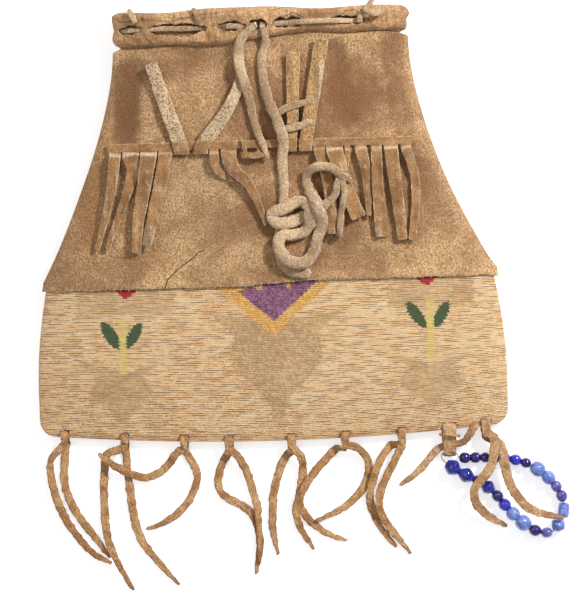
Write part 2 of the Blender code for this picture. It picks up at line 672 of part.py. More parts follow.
def upper_fringe(heights):
    band_low = MOUTH_TOP - FRINGE_DROP - FRINGE_BAND / 2
    band_high = band_low + FRINGE_BAND
    corners = sorted({0.0, FRINGE_WIDTH}.union(*[{a, b} for (a, b), _, _ in STRANDS]))
    centres = {}
    for x in corners:
        tops = [heights.top(FRINGE_LEFT + x, y, 2.5) for y in (band_low, band_high)]
        centres[x] = max(tops) + LAID_GAP + FRINGE_THICKNESS / 2
    band = []
    for x in corners:
        for y in (band_low, band_high):
            heights.stamp(FRINGE_LEFT + x, y, 3, centres[x] + FRINGE_THICKNESS / 2)
    for a, b in zip(corners, corners[1:]):
        for share in (0.25, 0.5, 0.75):
            level = centres[a] + (centres[b] - centres[a]) * share + FRINGE_THICKNESS / 2
            for y in (band_low + 1, band_high - 1):
                heights.stamp(FRINGE_LEFT + a + (b - a) * share, y, 2.5, level)
    shape = bmesh.new()
    half = FRINGE_THICKNESS / 2
    posts = {}
    for x in corners:
        places = [(band_low, half), (band_high, half), (band_high, -half), (band_low, -half)]
        posts[x] = [shape.verts.new(Vector((FRINGE_LEFT + x, y, centres[x] + dz)) * MM) for y, dz in places]
    hung = {edges for edges, _, _ in STRANDS}
    for a, b in zip(corners, corners[1:]):
        for k in range(4):
            if k == 3 and (a, b) in hung:
                continue
            j = (k + 1) % 4
            shape.faces.new((posts[a][k], posts[a][j], posts[b][j], posts[b][k]))
    shape.faces.new(posts[corners[0]])
    shape.faces.new(list(reversed(posts[corners[-1]])))
    for index in LAY_ORDER:
        (a, b), offsets, flipped = STRANDS[index]
        first = Vector((FRINGE_LEFT + (a + b) / 2, band_low, (centres[a] + centres[b]) / 2, b - a))
        lead = [Vector((first.x, band_low - 1.5, first.z, b - a))]
        start_y = band_low - 3.5
        if flipped:
            lead += turn_over(first, band_low, FRINGE_THICKNESS / 2 + LAID_GAP)
            start_y = band_low + 1.5
        route = [(first.x, start_y, b - a)]
        route += [(FRINGE_LEFT + x, band_low + y, width) for x, y, width in offsets]
        laid = lay(heights, route, FRINGE_THICKNESS, 18, start=lead[-1].z)
        loops = strip_loops([first] + lead + laid, FRINGE_THICKNESS)[1:]
        left_low, left_high = posts[a][3], posts[a][0]
        right_low, right_high = posts[b][3], posts[b][0]
        ring = [right_high, left_high, left_low, right_low]
        if (loops[0][0] - loops[0][1]).x < 0:
            ring = [left_high, right_high, right_low, left_low]
        if (loops[0][0] - loops[0][3]).z < 0:
            ring = [ring[3], ring[2], ring[1], ring[0]]
        for loop in loops:
            nxt = [shape.verts.new(p * MM) for p in loop]
            for k in range(4):
                j = (k + 1) % 4
                shape.faces.new((ring[k], ring[j], nxt[j], nxt[k]))
            ring = nxt
        shape.faces.new(ring)
    bmesh.ops.recalc_face_normals(shape, faces=shape.faces)
    mesh = bpy.data.meshes.new("upper_fringe")
    shape.to_mesh(mesh)
    shape.free()
    mesh.shade_smooth()
    mesh.set_sharp_from_angle(angle=math.radians(50))
    return place("upper_fringe", mesh, "buckskin")


# Thongs: share across the pocket where each passes its edge, then its under and upper tails from there
# in hundredths of THONG_REACH
THONGS = [
    (-0.895, [(-2, -20), (-1, -37), (9, -56), (22, -71), (27, -80)],
     [(-11, -14), (-9, -32), (-2, -53), (12, -74), (28, -83)]),
    (-0.64, [(1, -20), (3, -41), (7, -64), (18, -79), (33, -96)],
     [(-12, -8), (-14, -20), (-15, -40), (-14, -61), (-7, -80), (3, -99)]),
    (-0.386, [(8, -17), (8, -27), (1, -42), (-11, -52), (-27, -57)],
     [(-5, -6), (-11, -17), (-22, -23), (-32, -22), (-43, -17), (-51, -11), (-56, -6)]),
    (-0.196, [(-3, -10), (-9, -25), (-5, -36), (9, -42), (16, -50), (19, -61), (18, -81), (15, -88)],
     [(3, -6), (10, -16), (14, -31), (18, -47), (18, -80)]),
    (0.072, [(-3, -7), (-11, -25), (-14, -44), (-14, -63), (-11, -75)],
     [(5, -8), (8, -18), (5, -30), (3, -42), (9, -53), (20, -62), (35, -67)]),
    (0.3, [(-5, -6), (-16, -17), (-26, -29), (-34, -44), (-31, -58), (-22, -73)],
     [(6, -5), (15, -13), (15, -27), (7, -40), (-6, -49), (-21, -54)]),
    (0.542, [(-7, -7), (-16, -20), (-22, -37), (-20, -53), (-14, -64), (-5, -74)],
     [(1, -6), (-8, -23), (-16, -39), (-15, -53), (-7, -64), (4, -79)]),
    (0.902, [(9, -11), (11, -26), (15, -41), (23, -53), (34, -58), (49, -61)],
     [(5, -7), (4, -24), (-3, -33), (-10, -41), (-8, -52), (1, -60), (13, -67)]),
]
HANGER_TO_LAST = 24.0


def hem_arch(x, width, thickness):
    """Points of a strip through its hole, from the back of the hem to the front."""
    back, front = hem_at(x)
    middle = edge_height(x) + HOLE_RISE
    bend = thickness / 2 + THONG_PLAY
    near = bend * math.sin(math.pi / 4)
    lip = middle - bend
    places = [(lip, back - bend), (lip + near, back - near), (middle, back), (middle, (back + front) / 2),
              (middle, front), (lip + near, front + near), (lip, front + bend)]
    return [Vector((x, y, z, width)) for y, z in places]


def tapered(offsets, x, y, width):
    """Full width to near the end, then a narrower tip."""
    result = []
    for k, (dx, dy) in enumerate(offsets):
        left = len(offsets) - 1 - k
        share = 0.42 if left == 0 else 0.88 if left == 1 else 1.0
        result.append((x + dx * THONG_REACH / 100, y + dy * THONG_REACH / 100, width * share))
    return result


def bottom_thong(heights, name, x, under, upper, width):
    edge = edge_height(x)
    arch = hem_arch(x, width, THONG_THICKNESS)
    low = THONG_THICKNESS / 2 + 0.1
    leaving = Vector((x, edge - 3.6, low, width))
    tail_back = lay(heights, [(x, edge - 7.5, width)] + tapered(under, x, edge, width), THONG_THICKNESS, 16)
    front = arch[-1].z
    over_edge = Vector((x, edge - 1.2, front - 0.3, width))
    tail_front = lay(heights, [(x, edge - 4.6, width)] + tapered(upper, x, edge, width),
                     THONG_THICKNESS, 16, start=front - 1.6)
    points = list(reversed(tail_back)) + [leaving] + arch + [over_edge] + tail_front
    return strip(name, points, THONG_THICKNESS, "thong")


def thong_holes(pocket, places):
    outlines = []
    for x, width, thickness in places:
        middle = edge_height(x) + HOLE_RISE
        dx = width / 2 + THONG_PLAY
        dy = thickness / 2 + THONG_PLAY
        outline = [(x - dx, middle - dy), (x + dx, middle - dy), (x + dx, middle + dy), (x - dx, middle + dy)]
        outlines.append((outline, -1, POCKET_DEPTH))
    cut(pocket, "thong_holes", outlines)


# Hanger: a doubled thong that holds the bead string

def thong_x(share):
    return share * POCKET_WIDTH / 2


def hanger_x():
    return thong_x(THONGS[-1][0]) - HANGER_TO_LAST


def hanger_levels():
    """Middle heights of the hanger's back and front layers, below the hem."""
    low = THONG_THICKNESS / 2 + 0.1
    return low, low + 2 * THONG_THICKNESS + 3 * LAID_GAP


def bead_hanger(heights):
    x = hanger_x()
    edge = edge_height(x)
    arch = hem_arch(x, HANGER_WIDTH, THONG_THICKNESS)
    low, high = hanger_levels()
    radius = (high - low) / 2
    bight = edge - HANGER_DROP + radius + THONG_THICKNESS / 2
    turn = []
    for k in range(5):
        angle = math.pi * k / 4
        turn.append(Vector((x, bight - radius * math.sin(angle), (high + low) / 2 + radius * math.cos(angle),
                            HANGER_WIDTH * 0.9)))
    front = [Vector((x, edge - 1.2, arch[-1].z - 0.3, HANGER_WIDTH)),
             Vector((x, edge - 6, (arch[-1].z + high) / 2, HANGER_WIDTH))]
    back = [Vector((x, edge - 8, low, HANGER_WIDTH)), Vector((x, edge - 3.6, low, HANGER_WIDTH))]
    for k in range(8):
        heights.stamp(x, edge - 3 - 1.5 * k, HANGER_WIDTH / 2, low + THONG_THICKNESS / 2)
    hanger_thong(heights, x, edge)
    for point in front + turn:
        heights.stamp(point.x, point.y, HANGER_WIDTH / 2, point.z + THONG_THICKNESS / 2)
    return strip("bead_hanger", arch + front + turn + back, THONG_THICKNESS, "thong", cyclic=True)


def hanger_thong(heights, x, edge):
    """The thong that passes through the hanger, one end over the hem."""
    route = [(x - 33, edge - 36, 2.6), (x - 18, edge - 25, 5), (x - 9.5, edge - 13.8, 5), (x - 4, edge - 10.6, 4.4),
             (x + 2, edge - 10.1, 4.2), (x + 8, edge - 9.6, 4.4), (x + 11.8, edge - 7, 5),
             (x + 13.8, edge - 2.5, 5.2), (x + 18, edge + 4.5, 5.2)]
    return strip("hanger_thong", lay(heights, route, THONG_THICKNESS, 8, slope=0.55), THONG_THICKNESS, "thong")


def hanger_tie():
    """A wrap of thong round the front of the hanger."""
    x = hanger_x()
    edge = edge_height(x)
    front = hem_arch(x, HANGER_WIDTH, THONG_THICKNESS)[-1].z - 1.1
    thickness = 2.2
    reach = HANGER_WIDTH / 2 + LAID_GAP + thickness / 2
    rise = THONG_THICKNESS / 2 + LAID_GAP + thickness / 2 + 0.6
    points = []
    for k in range(16):
        angle = 2 * math.pi * k / 16
        squash = (abs(math.cos(angle)) ** 5 + abs(math.sin(angle)) ** 5) ** -0.2
        points.append(Vector((x + reach * math.cos(angle) * squash, edge - 3.4 - 0.6 * math.cos(angle),
                              front + rise * math.sin(angle) * squash)))
    loops = []
    for k, point in enumerate(points):
        along = (points[(k + 1) % len(points)] - points[k - 1]).normalized()
        out = Vector((0, 1, 0)).cross(along).normalized()
        up = along.cross(out)
        loop = []
        for m in range(6):
            angle = 2 * math.pi * m / 6
            loop.append(point + (out * math.cos(angle) + up * math.sin(angle)) * thickness / 2)
        loops.append(loop)
    return loft("hanger_tie", loops, "thong", cyclic=True)


# Beads in their order on the string: form, diameter, length
BEADS = [("bicone", 11.7, 10.0), ("bicone", 11.0, 10.0), ("round", 7.2, 6.1), ("bicone", 10.4, 9.0),
         ("round", 7.8, 6.9), ("round", 8.5, 7.3), ("barrel", 9.6, 7.8), ("barrel", 11.4, 9.2),
         ("round", 8.1, 7.1), ("round", 7.2, 6.5), ("bicone", 11.0, 8.6), ("cylinder", 7.6, 9.0),
         ("round", 7.8, 6.9), ("round", 7.5, 6.7), ("barrel", 9.6, 8.0), ("barrel", 10.8, 9.0),
         ("round", 6.9, 6.1), ("round", 7.8, 6.9), ("round", 7.2, 6.3), ("round", 7.6, 6.5),
         ("round", 7.0, 6.1), ("round", 7.5, 6.7), ("round", 7.8, 6.8)]
# Loop that the beads lie in, from the hanger's foot
BEAD_LOOP = [(-2.6, -7.4), (2.2, -11), (12, -16.5), (26, -24.5), (36, -37), (48, -49), (58, -54.5),
             (66.5, -53.5), (73.5, -42.5), (73, -31.5), (66, -20.5), (55, -11), (41, -6), (28, -4.6), (17, -4.3),
             (6.5, -4.2)]
BEAD_FORMS = {
    "round": [(0.5, 0.42), (0.3, 0.86), (0, 1.0), (-0.3, 0.86), (-0.5, 0.42)],
    "barrel": [(0.5, 0.52), (0.25, 0.95), (-0.25, 0.95), (-0.5, 0.52)],
    "bicone": [(0.5, 0.42), (0.1, 1.0), (-0.1, 1.0), (-0.5, 0.42)],
    "cylinder": [(0.5, 0.8), (0.42, 1.0), (-0.42, 1.0), (-0.5, 0.8)],
}
BEAD_SIDES = 8


def bead(name, form, diameter, length, low, high):
    """A bead turned round its hole, which runs from low to high."""
    axis = (high - low).normalized()
    middle = (low + high) / 2
    out = axis.cross(Vector((0, 0, 1))).normalized()
    up = out.cross(axis)
    profile = [(t * length, r * diameter / 2) for t, r in BEAD_FORMS[form]]
    profile += [(-0.5 * length, BEAD_HOLE / 2), (0.5 * length, BEAD_HOLE / 2)]
    loops = []
    for k in range(BEAD_SIDES):
        angle = 2 * math.pi * (k + 0.5) / BEAD_SIDES
        away = out * math.cos(angle) + up * math.sin(angle)
        loops.append([middle + axis * t + away * r for t, r in profile])
    return loft(name, loops, "glass", cyclic=True, smooth_angle=20 if form == "bicone" else 60)


def on_line(line, runs, distance):
    """The point at a distance along a fine line."""
    k = 1
    while k < len(runs) - 1 and runs[k] < distance:
        k += 1
    share = (distance - runs[k - 1]) / (runs[k] - runs[k - 1])
    return line[k - 1].lerp(line[k], share)


def bead_places(line):
    """Both ends of every bead on the line, with room where the line turns."""
    runs = [0.0]
    for p, q in zip(line, line[1:]):
        runs.append(runs[-1] + (q - p).length)
    gaps = [BEAD_GAP] * (len(BEADS) - 1)
    rims = [BEAD_FORMS[form][0][1] * diameter / 2 for form, diameter, _ in BEADS]
    radii = [diameter / 2 for _, diameter, _ in BEADS]
    rises = [radii[0]] + [max(pair) for pair in zip(radii, radii[1:])] + [radii[-1]]
    for _ in range(4):
        spare = (runs[-1] - sum(gaps) - sum(length for _, _, length in BEADS)) / len(gaps)
        places = []
        at = 0.0
        for k, (_, _, length) in enumerate(BEADS):
            ends = [on_line(line, runs, at), on_line(line, runs, at + length)]
            places.append([Vector((*end.xy, rise + 0.1)) for end, rise in zip(ends, rises[k:])])
            at += length + spare + (gaps[k] if k < len(gaps) else 0)
        for k in range(len(gaps)):
            before = places[k][1] - places[k][0]
            after = places[k + 1][1] - places[k + 1][0]
            gaps[k] = BEAD_GAP + 2 * max(rims[k], rims[k + 1]) * math.tan(before.angle(after) / 2)
    return places


def bead_string(heights):
    foot = Vector((hanger_x(), edge_height(hanger_x()) - HANGER_DROP + 3.3, 0))
    inside = sum(hanger_levels()) / 2
    line = smooth_route([Vector((foot.x + dx, foot.y + dy, 0)) for dx, dy in BEAD_LOOP], 0.5)
    places = bead_places(line)
    for k, ((form, diameter, length), (low, high)) in enumerate(zip(BEADS, places)):
        bead("bead_%02d" % (k + 1), form, diameter, length, low, high)
        middle = (low + high) / 2
        heights.stamp(middle.x, middle.y, diameter / 2, middle.z + diameter / 2)
    between = []
    for (_, end), (start, _) in zip(places, places[1:]):
        between += [end, start] if (end - start).length > 1 else [(end + start) / 2]
    half = HANGER_WIDTH / 2 + LAID_GAP + STRING_THICKNESS
    lead_in = [foot + Vector((-0.9, -0.2, inside)), foot + Vector((-half + 0.4, -0.3, inside)),
               foot + Vector((-half + 0.2, -4.6, inside + 0.8)), places[0][0]]
    lead_out = [places[-1][1], foot + Vector((half - 0.5, -3.6, inside + 0.3)),
                foot + Vector((half - 0.7, -0.9, inside)), foot + Vector((0.9, -0.2, inside))]
    points = [Vector((*p, STRING_THICKNESS)) for p in lead_in + between + lead_out]
    return cord("bead_string", points, STRING_THICKNESS, "sinew")


# Small ties at the mouth

def edge_knot(heights):
    """The knot near the right edge that joins the lace's ends round the mouth."""
    x = MOUTH_WIDTH / 2 * 0.82 + MOUTH_SHIFT
    y = MOUTH_TOP
    route = [(0.5, 11, 3.4), (-1, 6.5, 3.6), (-5, 2, 4), (-9, -2.5, 4), (-8, -6, 4)]
    points = lay(heights, [(x + dx, y + dy, width) for dx, dy, width in route], 2.6, 3.5)
    return strip("edge_knot_under", points, 2.6, "lace")


def edge_knot_over(heights):
    x = MOUTH_WIDTH / 2 * 0.82 + MOUTH_SHIFT
    y = MOUTH_TOP
    route = [(-6.5, 3.5, 4), (-2, -0.5, 4.4), (3, -1, 4.4), (7, 2.5, 4.2)]
    points = lay(heights, [(x + dx, y + dy, width) for dx, dy, width in route], 2.8, 3.5)
    return strip("edge_knot_over", points, 2.8, "lace")


def left_tip(heights):
    """The lace's spare end that stands over the rim at the left."""
    x = -MOUTH_WIDTH / 2 * 0.93 + MOUTH_SHIFT
    y = MOUTH_TOP
    route = [(-1.5, 7.5, 3.4), (0.2, 2.5, 4.2), (2.8, -2.2, 3.4)]
    return strip("left_lace_tip", lay(heights, [(x + dx, y + dy, w) for dx, dy, w in route], 1.8, 3.5),
                 1.8, "lace")


def rim_tie(heights):
    """A short thong over the rim, beside the long slit."""
    x = -0.485 * MOUTH_WIDTH / 2
    y = MOUTH_TOP
    route = [(-1.6, 6.5, 3.0), (0.2, 1.5, 3.4), (3.2, -3, 2.4)]
    return strip("rim_tie", lay(heights, [(x + dx, y + dy, w) for dx, dy, w in route], 1.4, 3.2), 1.4, "lace")


def tail_tie(heights, exit_at):
    """A thong looped behind the lace's tail, both ends over the upturned strands."""
    route = [(32, -50, 3.6), (20, -52, 4.6), (9, -56, 4.4), (5.5, -62, 4.2), (10, -68, 4.4), (20, -66.5, 4.8),
             (30, -62.5, 3.4)]
    points = lay(heights, [(exit_at.x + dx, exit_at.y + dy, w) for dx, dy, w in route], 2.0, 5)
    return strip("tail_tie", points, 2.0, "lace")


def build():
    clear_scene()
    heights = Heights()
    pocket = husk_pocket()
    places = [(thong_x(share), THONG_WIDTH, THONG_THICKNESS) for share, _, _ in THONGS[:-1]]
    places.append((thong_x(THONGS[-1][0]), WIDE_THONG, THONG_THICKNESS))
    places.append((hanger_x(), HANGER_WIDTH, THONG_THICKNESS))
    thong_holes(pocket, places)
    hide = hide_upper()
    casing = mouth_casing()
    heights.add(pocket)
    heights.add(hide)
    heights.add(casing)
    upper_fringe(heights)
    exit_at = mouth_point(0.02, True, lace_height(0), OUTSIDE)
    tail_tie(heights, exit_at)
    drawstring(heights)
    knot_thong(heights, exit_at)
    left_tip(heights)
    rim_tie(heights)
    edge_knot(heights)
    edge_knot_over(heights)
    for k, (share, under, upper) in enumerate(THONGS[:-1]):
        bottom_thong(heights, "thong_%d" % (k + 1), thong_x(share), under, upper, THONG_WIDTH)
    bead_hanger(heights)
    hanger_tie()
    bead_string(heights)
    share, under, upper = THONGS[-1]
    bottom_thong(heights, "thong_8", thong_x(share), under, upper, WIDE_THONG)


build()
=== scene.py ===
from math import copysign, cos, exp, hypot, pi, radians, sin, sqrt

import bpy
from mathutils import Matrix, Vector, noise
from mathutils.bvhtree import BVHTree


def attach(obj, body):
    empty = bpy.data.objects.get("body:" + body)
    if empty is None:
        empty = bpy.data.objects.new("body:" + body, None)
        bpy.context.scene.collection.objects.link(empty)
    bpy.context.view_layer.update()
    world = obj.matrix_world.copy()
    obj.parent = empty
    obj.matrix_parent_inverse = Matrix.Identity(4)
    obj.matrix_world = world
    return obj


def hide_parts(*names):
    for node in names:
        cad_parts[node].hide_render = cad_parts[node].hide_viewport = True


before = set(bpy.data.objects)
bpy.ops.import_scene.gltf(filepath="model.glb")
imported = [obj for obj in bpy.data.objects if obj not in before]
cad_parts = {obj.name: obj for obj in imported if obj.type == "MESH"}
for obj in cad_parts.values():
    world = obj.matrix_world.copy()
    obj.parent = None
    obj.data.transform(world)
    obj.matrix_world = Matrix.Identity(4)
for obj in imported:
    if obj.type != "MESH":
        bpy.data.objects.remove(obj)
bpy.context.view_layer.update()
bpy.ops.object.select_all(action="DESELECT")

# Lengths are in millimetres, and MM makes them the frame's metres
MM = 0.001
BODY = "root"

# The view: the photograph's middle on the bag, its height there and its small turn
VIEW_MIDDLE = (12.4, 37.1)
VIEW_HEIGHT = 396.0
VIEW_TURN = -1.6
VIEW_DISTANCE = 1500.0
VIEW_LEVEL = 12.0
SENSOR_WIDTH = 36.0

# Stage, in metres: each lamp's place, size and power, the daylight, and the floor
KEY_LIGHT = ((0.95, 0.85, 1.15), 0.24, 24)
FILL_LIGHT = ((-0.9, 0.5, 1.5), 1.2, 4.5)
DAYLIGHT = 0.36
FLOOR_SIZE = 12
FLOOR_LEVEL = -0.0002
FLOOR_PALENESS = 0.9
FLOOR_GLOW = 0.6

# Clearances between pieces
GAP = 0.3
LAID_GAP = 0.4
SEAM_GAP = 0.6

# Woven pocket
POCKET_WIDTH = 306.0
POCKET_BOTTOM = -45.0
POCKET_HEIGHT = 99.0
POCKET_DEPTH = 15.0
POCKET_WALL = 2.0
POCKET_TAPER = 7.5
POCKET_CORNER = 11.0
BOTTOM_BOW = 6.5
HEM_LIFT = 4.6
HEM_THICKNESS = 3.2
HEM_HEIGHT = 7.4
HOLE_RISE = 3.5
HOLE_PLAY = 0.3
HOLE_LEVEL = 6.0
HOLE_REACH = 20.0
ROWS = 90
STITCH = 1.25
ROW_RELIEF = 0.34

# Buckskin upper
HIDE_WALL = 1.6
HIDE_LAP = 4.5
HIDE_HEIGHT = 174.0
EDGE_RISE = 3.0
EDGE_FADE = 20.0
MOUTH_WIDTH = 178.0
MOUTH_OPENING = 9.8
MOUTH_SHIFT = -2.0
NECK_TUCK = 7.0
SHOULDER_POWER = 1.6
# Folds: x at the mouth and low down, half width and height
FOLDS = [(-70, -92, 15, 1.7), (-44, -52, 12, -1.3), (-15, -22, 11, 1.4),
         (12, 18, 12, -1.5), (42, 56, 13, 1.5), (70, 90, 11, -1.1)]
# Where the sides lie between back and front, and how a layer's sides spread
TIP_SHARE = 0.45
SIDE_STRETCH = 1.25

# Casing round the mouth and the lace in it
CASING_WALL = 1.2
CASING_HEIGHT = 16.5
CASING_SLANT = 6.0
LIP_DEPTH = 3.0
LACE_THICKNESS = 2.8
LACE_PLAY = 0.7
LACE_DROP = 6.3
LACE_CLIMB = 1.8
RIM_OVERHANG = 0.8

POCKET_TOP = POCKET_BOTTOM + POCKET_HEIGHT
HIDE_BOTTOM = POCKET_TOP - HIDE_LAP
LAP_TOP = POCKET_TOP + 1.5
MOUTH_TOP = HIDE_BOTTOM + HIDE_HEIGHT
CAVITY = LACE_THICKNESS + 2 * LACE_PLAY
CASING_OUT = GAP + CAVITY + CASING_WALL
MOUTH_LOW = CASING_OUT + RIM_OVERHANG + 0.1
MOUTH_HIGH = MOUTH_LOW + 2 * HIDE_WALL + MOUTH_OPENING
CASING_FOOT = MOUTH_TOP - CASING_HEIGHT

# Thongs and hanger through the hem: places as shares of the half width
THONG_PLACES = (-0.895, -0.64, -0.386, -0.196, 0.072, 0.3, 0.542, 0.902)
HANGER_TO_LAST = 24.0
THONG_WIDTH = 5.6
WIDE_THONG = 7.0
HANGER_WIDTH = 9.0
THONG_THICKNESS = 2.0
LAST_THONG = THONG_PLACES[-1] * POCKET_WIDTH / 2
HOLES = [(share * POCKET_WIDTH / 2, THONG_WIDTH) for share in THONG_PLACES[:-1]]
HOLES += [(LAST_THONG, WIDE_THONG), (LAST_THONG - HANGER_TO_LAST, HANGER_WIDTH)]

# Beads along the string: big, tube, cut or round, each with its glass
BEAD_KINDS = "bbrbrrTTrrbcrrTTrrrrrrr"
BEAD_COLOURS = ("cobalt cobalt dark cobalt dark bright milky milky dark violet milky milky "
                "violet violet milky milky dark bright bright bright dark dark dark").split()
BEADS = ["bead_%02d" % (k + 1) for k in range(len(BEAD_KINDS))]


def srgb(red, green, blue):
    """A colour seen on a screen, as the linear values that shaders take."""
    parts = []
    for part in (red, green, blue):
        share = part / 255
        parts.append(share / 12.92 if share <= 0.04045 else ((share + 0.055) / 1.055) ** 2.4)
    return (*parts, 1.0)


def smooth_step(t):
    t = min(1.0, max(0.0, t))
    return t * t * (3 - 2 * t)


def rough(x, y, size, seed=0.0):
    """Uneven value from about -1 to 1, with lumps of the given size."""
    return noise.fractal(Vector((x / size, y / size, seed)), 1.0, 2.0, 3) * 1.2


def beside(x, y, start, end):
    """How far a place is along a straight line and aside of it, and the line's length."""
    length = hypot(end[0] - start[0], end[1] - start[1])
    ux = (end[0] - start[0]) / length
    uy = (end[1] - start[1]) / length
    right = x - start[0]
    up = y - start[1]
    return right * ux + up * uy, right * uy - up * ux, length


# Materials

def operation(kind):
    """A method that adds a Math node for a value and what it is given."""
    return lambda self, other=0: self.finish.maths(kind, self, other)


class Value:
    """A socket in a material. The operators add Math nodes."""

    def __init__(self, finish, socket):
        self.finish = finish
        self.socket = socket

    __add__ = __radd__ = operation("ADD")
    __sub__ = operation("SUBTRACT")
    __mul__ = __rmul__ = operation("MULTIPLY")
    __truediv__ = operation("DIVIDE")
    __pow__ = operation("POWER")
    whole = operation("FLOOR")
    part = operation("FRACT")
    size = operation("ABSOLUTE")
    least = operation("MINIMUM")
    most = operation("MAXIMUM")

    def __rsub__(self, other):
        return self.finish.maths("SUBTRACT", other, self)

    def step(self, low, high):
        """0 below low, 1 above high, smooth between; low may be the larger."""
        if low > high:
            return 1 - self.step(high, low)
        settings = {"interpolation_type": "SMOOTHSTEP"}
        inputs = {"Value": self, "From Min": low, "From Max": high}
        return self.finish.node("ShaderNodeMapRange", settings, inputs)["Result"]

    def between(self, low, high, soft=0.2):
        """1 from low to high, 0 outside, with soft ends."""
        return self.step(low - soft, low + soft) * self.step(high + soft, high - soft)


def any_of(masks):
    """The largest of some values, so 1 where any mask is 1."""
    total = masks[0]
    for mask in masks[1:]:
        total = total.most(mask)
    return total


class Finish:
    """A material being made: its nodes, the place on the bag and the colour so far."""

    def __init__(self, name, colour=None):
        self.material = bpy.data.materials.new(name)
        self.material.use_nodes = True
        self.tree = self.material.node_tree
        self.shader = self.tree.nodes["Principled BSDF"]
        self.colour = colour
        place = self.node("ShaderNodeTexCoord", {}, {})["Object"]
        parts = self.node("ShaderNodeSeparateXYZ", {}, {"Vector": place})
        self.x = parts["X"] / MM
        self.y = parts["Y"] / MM
        self.z = parts["Z"] / MM

    def node(self, kind, settings, inputs):
        """Adds a node: settings first, then its sockets. Gives its outputs by name."""
        made = self.tree.nodes.new(kind)
        for name, value in settings.items():
            setattr(made, name, value)
        for name, value in inputs.items():
            if isinstance(value, Value):
                self.tree.links.new(value.socket, made.inputs[name])
            else:
                made.inputs[name].default_value = value
        return {socket.name: Value(self, socket) for socket in made.outputs if socket.enabled}

    def maths(self, kind, first, second):
        return self.node("ShaderNodeMath", {"operation": kind}, {0: first, 1: second})["Value"]

    def join(self, x, y, z):
        return self.node("ShaderNodeCombineXYZ", {}, {"X": x, "Y": y, "Z": z})["Vector"]

    def noise(self, size, detail=3, stretch=(1, 1, 1), bend=0.0, at=None, seed=0.0):
        """Cloudy value from 0 to 1 with features of a size in millimetres."""
        x, y, z = at or (self.x, self.y, self.z)
        where = self.join(x / (size * stretch[0]) + seed, y / (size * stretch[1]), z / (size * stretch[2]))
        inputs = {"Vector": where, "Scale": 1.0, "Detail": detail, "Distortion": bend}
        return self.node("ShaderNodeTexNoise", {}, inputs)["Fac"]

    def chance(self, x, y):
        """A random value from 0 to 1 for each pair of whole numbers."""
        where = self.join(x + 0.5, y + 0.5, 0.0)
        return self.node("ShaderNodeTexWhiteNoise", {"noise_dimensions": "3D"}, {"Vector": where})["Value"]

    def blend(self, mask, first, second):
        """The first colour where the mask is 0 and the second where it is 1."""
        settings = {"data_type": "RGBA", "clamp_factor": True}
        first, second = [srgb(*each) if isinstance(each, tuple) else each for each in (first, second)]
        return self.node("ShaderNodeMix", settings, {0: mask, 6: first, 7: second})["Result"]

    def paint(self, mask, colour):
        """Lays a colour over what is there, as far as the mask says."""
        self.colour = self.blend(mask, self.colour, colour)

    def done(self, roughness, height, depth, **fixed):
        """Links the finished values to the shader. Depth is the bump's height in millimetres."""
        inputs = {"Height": height, "Distance": depth * MM, "Strength": 1.0}
        bump = self.node("ShaderNodeBump", {}, inputs)["Normal"]
        for name, value in (("Base Color", self.colour), ("Roughness", roughness), ("Normal", bump)):
            self.tree.links.new(value.socket, self.shader.inputs[name])
        for name, value in fixed.items():
            self.shader.inputs[name.replace("_", " ")].default_value = value
        return self.material


# Buckskin: colours as a screen shows them, and sizes of its marks
FLESH = (224, 196, 158)
FLESH_WARM = (212, 168, 112)
FLESH_DARK = (118, 84, 54)
SEAM_AND_FOLD_SHADE = (120, 80, 48)
SPLIT_BROWN = (74, 46, 24)
MOTTLE_SIZE = 6.5
NAP_SIZE = 1.1
SPECK_SIZE = 0.8
GATHER_SIZE = 2.4
SWAY_SIZE = 4.5

# Marks on the hide: place, half width and height in millimetres, colour and strength
# Three dark marks, at (-90, 168), (20, 152) and (60, 172), are painted shade in the hide's folds; the rest
# are stains
STAINS_AND_FOLD_SHADE = [
    (-90, 168, 12, 38, (118, 76, 44), 0.85), (20, 152, 42, 46, (136, 90, 56), 0.7),
    (-42, 124, 24, 18, (230, 194, 148), 0.6), (-116, 100, 9, 46, (206, 146, 84), 0.6),
    (118, 100, 12, 46, (232, 192, 144), 0.6), (2, 92, 38, 20, (140, 96, 62), 0.65),
    (60, 172, 30, 30, (138, 92, 56), 0.75), (-106, 140, 8, 40, (222, 172, 112), 0.6),
    (-62, 104, 20, 12, (226, 188, 140), 0.5), (88, 100, 30, 34, (150, 106, 68), 0.6),
    (-58, 192, 26, 9, (140, 94, 56), 0.5), (60, 66, 44, 9, (190, 148, 102), 0.5),
    (-90, 66, 40, 8, (214, 168, 118), 0.45), (97, 180, 8, 40, (226, 184, 136), 0.6),
    (-28, 160, 10, 36, (206, 158, 108), 0.5), (-128, 78, 14, 14, (222, 180, 130), 0.5)]
TEAR = [(-42.5, 74), (-46, 72.5), (-51, 67.5), (-56.4, 64.4), (-62, 59.4), (-66.4, 55.3), (-68.5, 50)]

# Hollows of the hide: both ends, half width and depth; the hide sags there and is painted darker as shade
HOLLOWS = [
    ((-84, 192), (-92, 150), 9, 2.6), ((-70, 204), (-30, 196), 7, 1.2), ((-18, 186), (-10, 132), 13, 1.8),
    ((46, 200), (52, 158), 10, 2.4), ((82, 206), (92, 130), 9, 1.6), ((-112, 128), (-124, 84), 10, 1.4),
    ((34, 110), (60, 66), 16, 1.2), ((-8, 104), (26, 66), 16, 1.4), ((-70, 74), (-110, 62), 9, 1.0),
    ((100, 124), (116, 84), 9, 1.2), ((-52, 178), (-44, 148), 10, 1.2)]
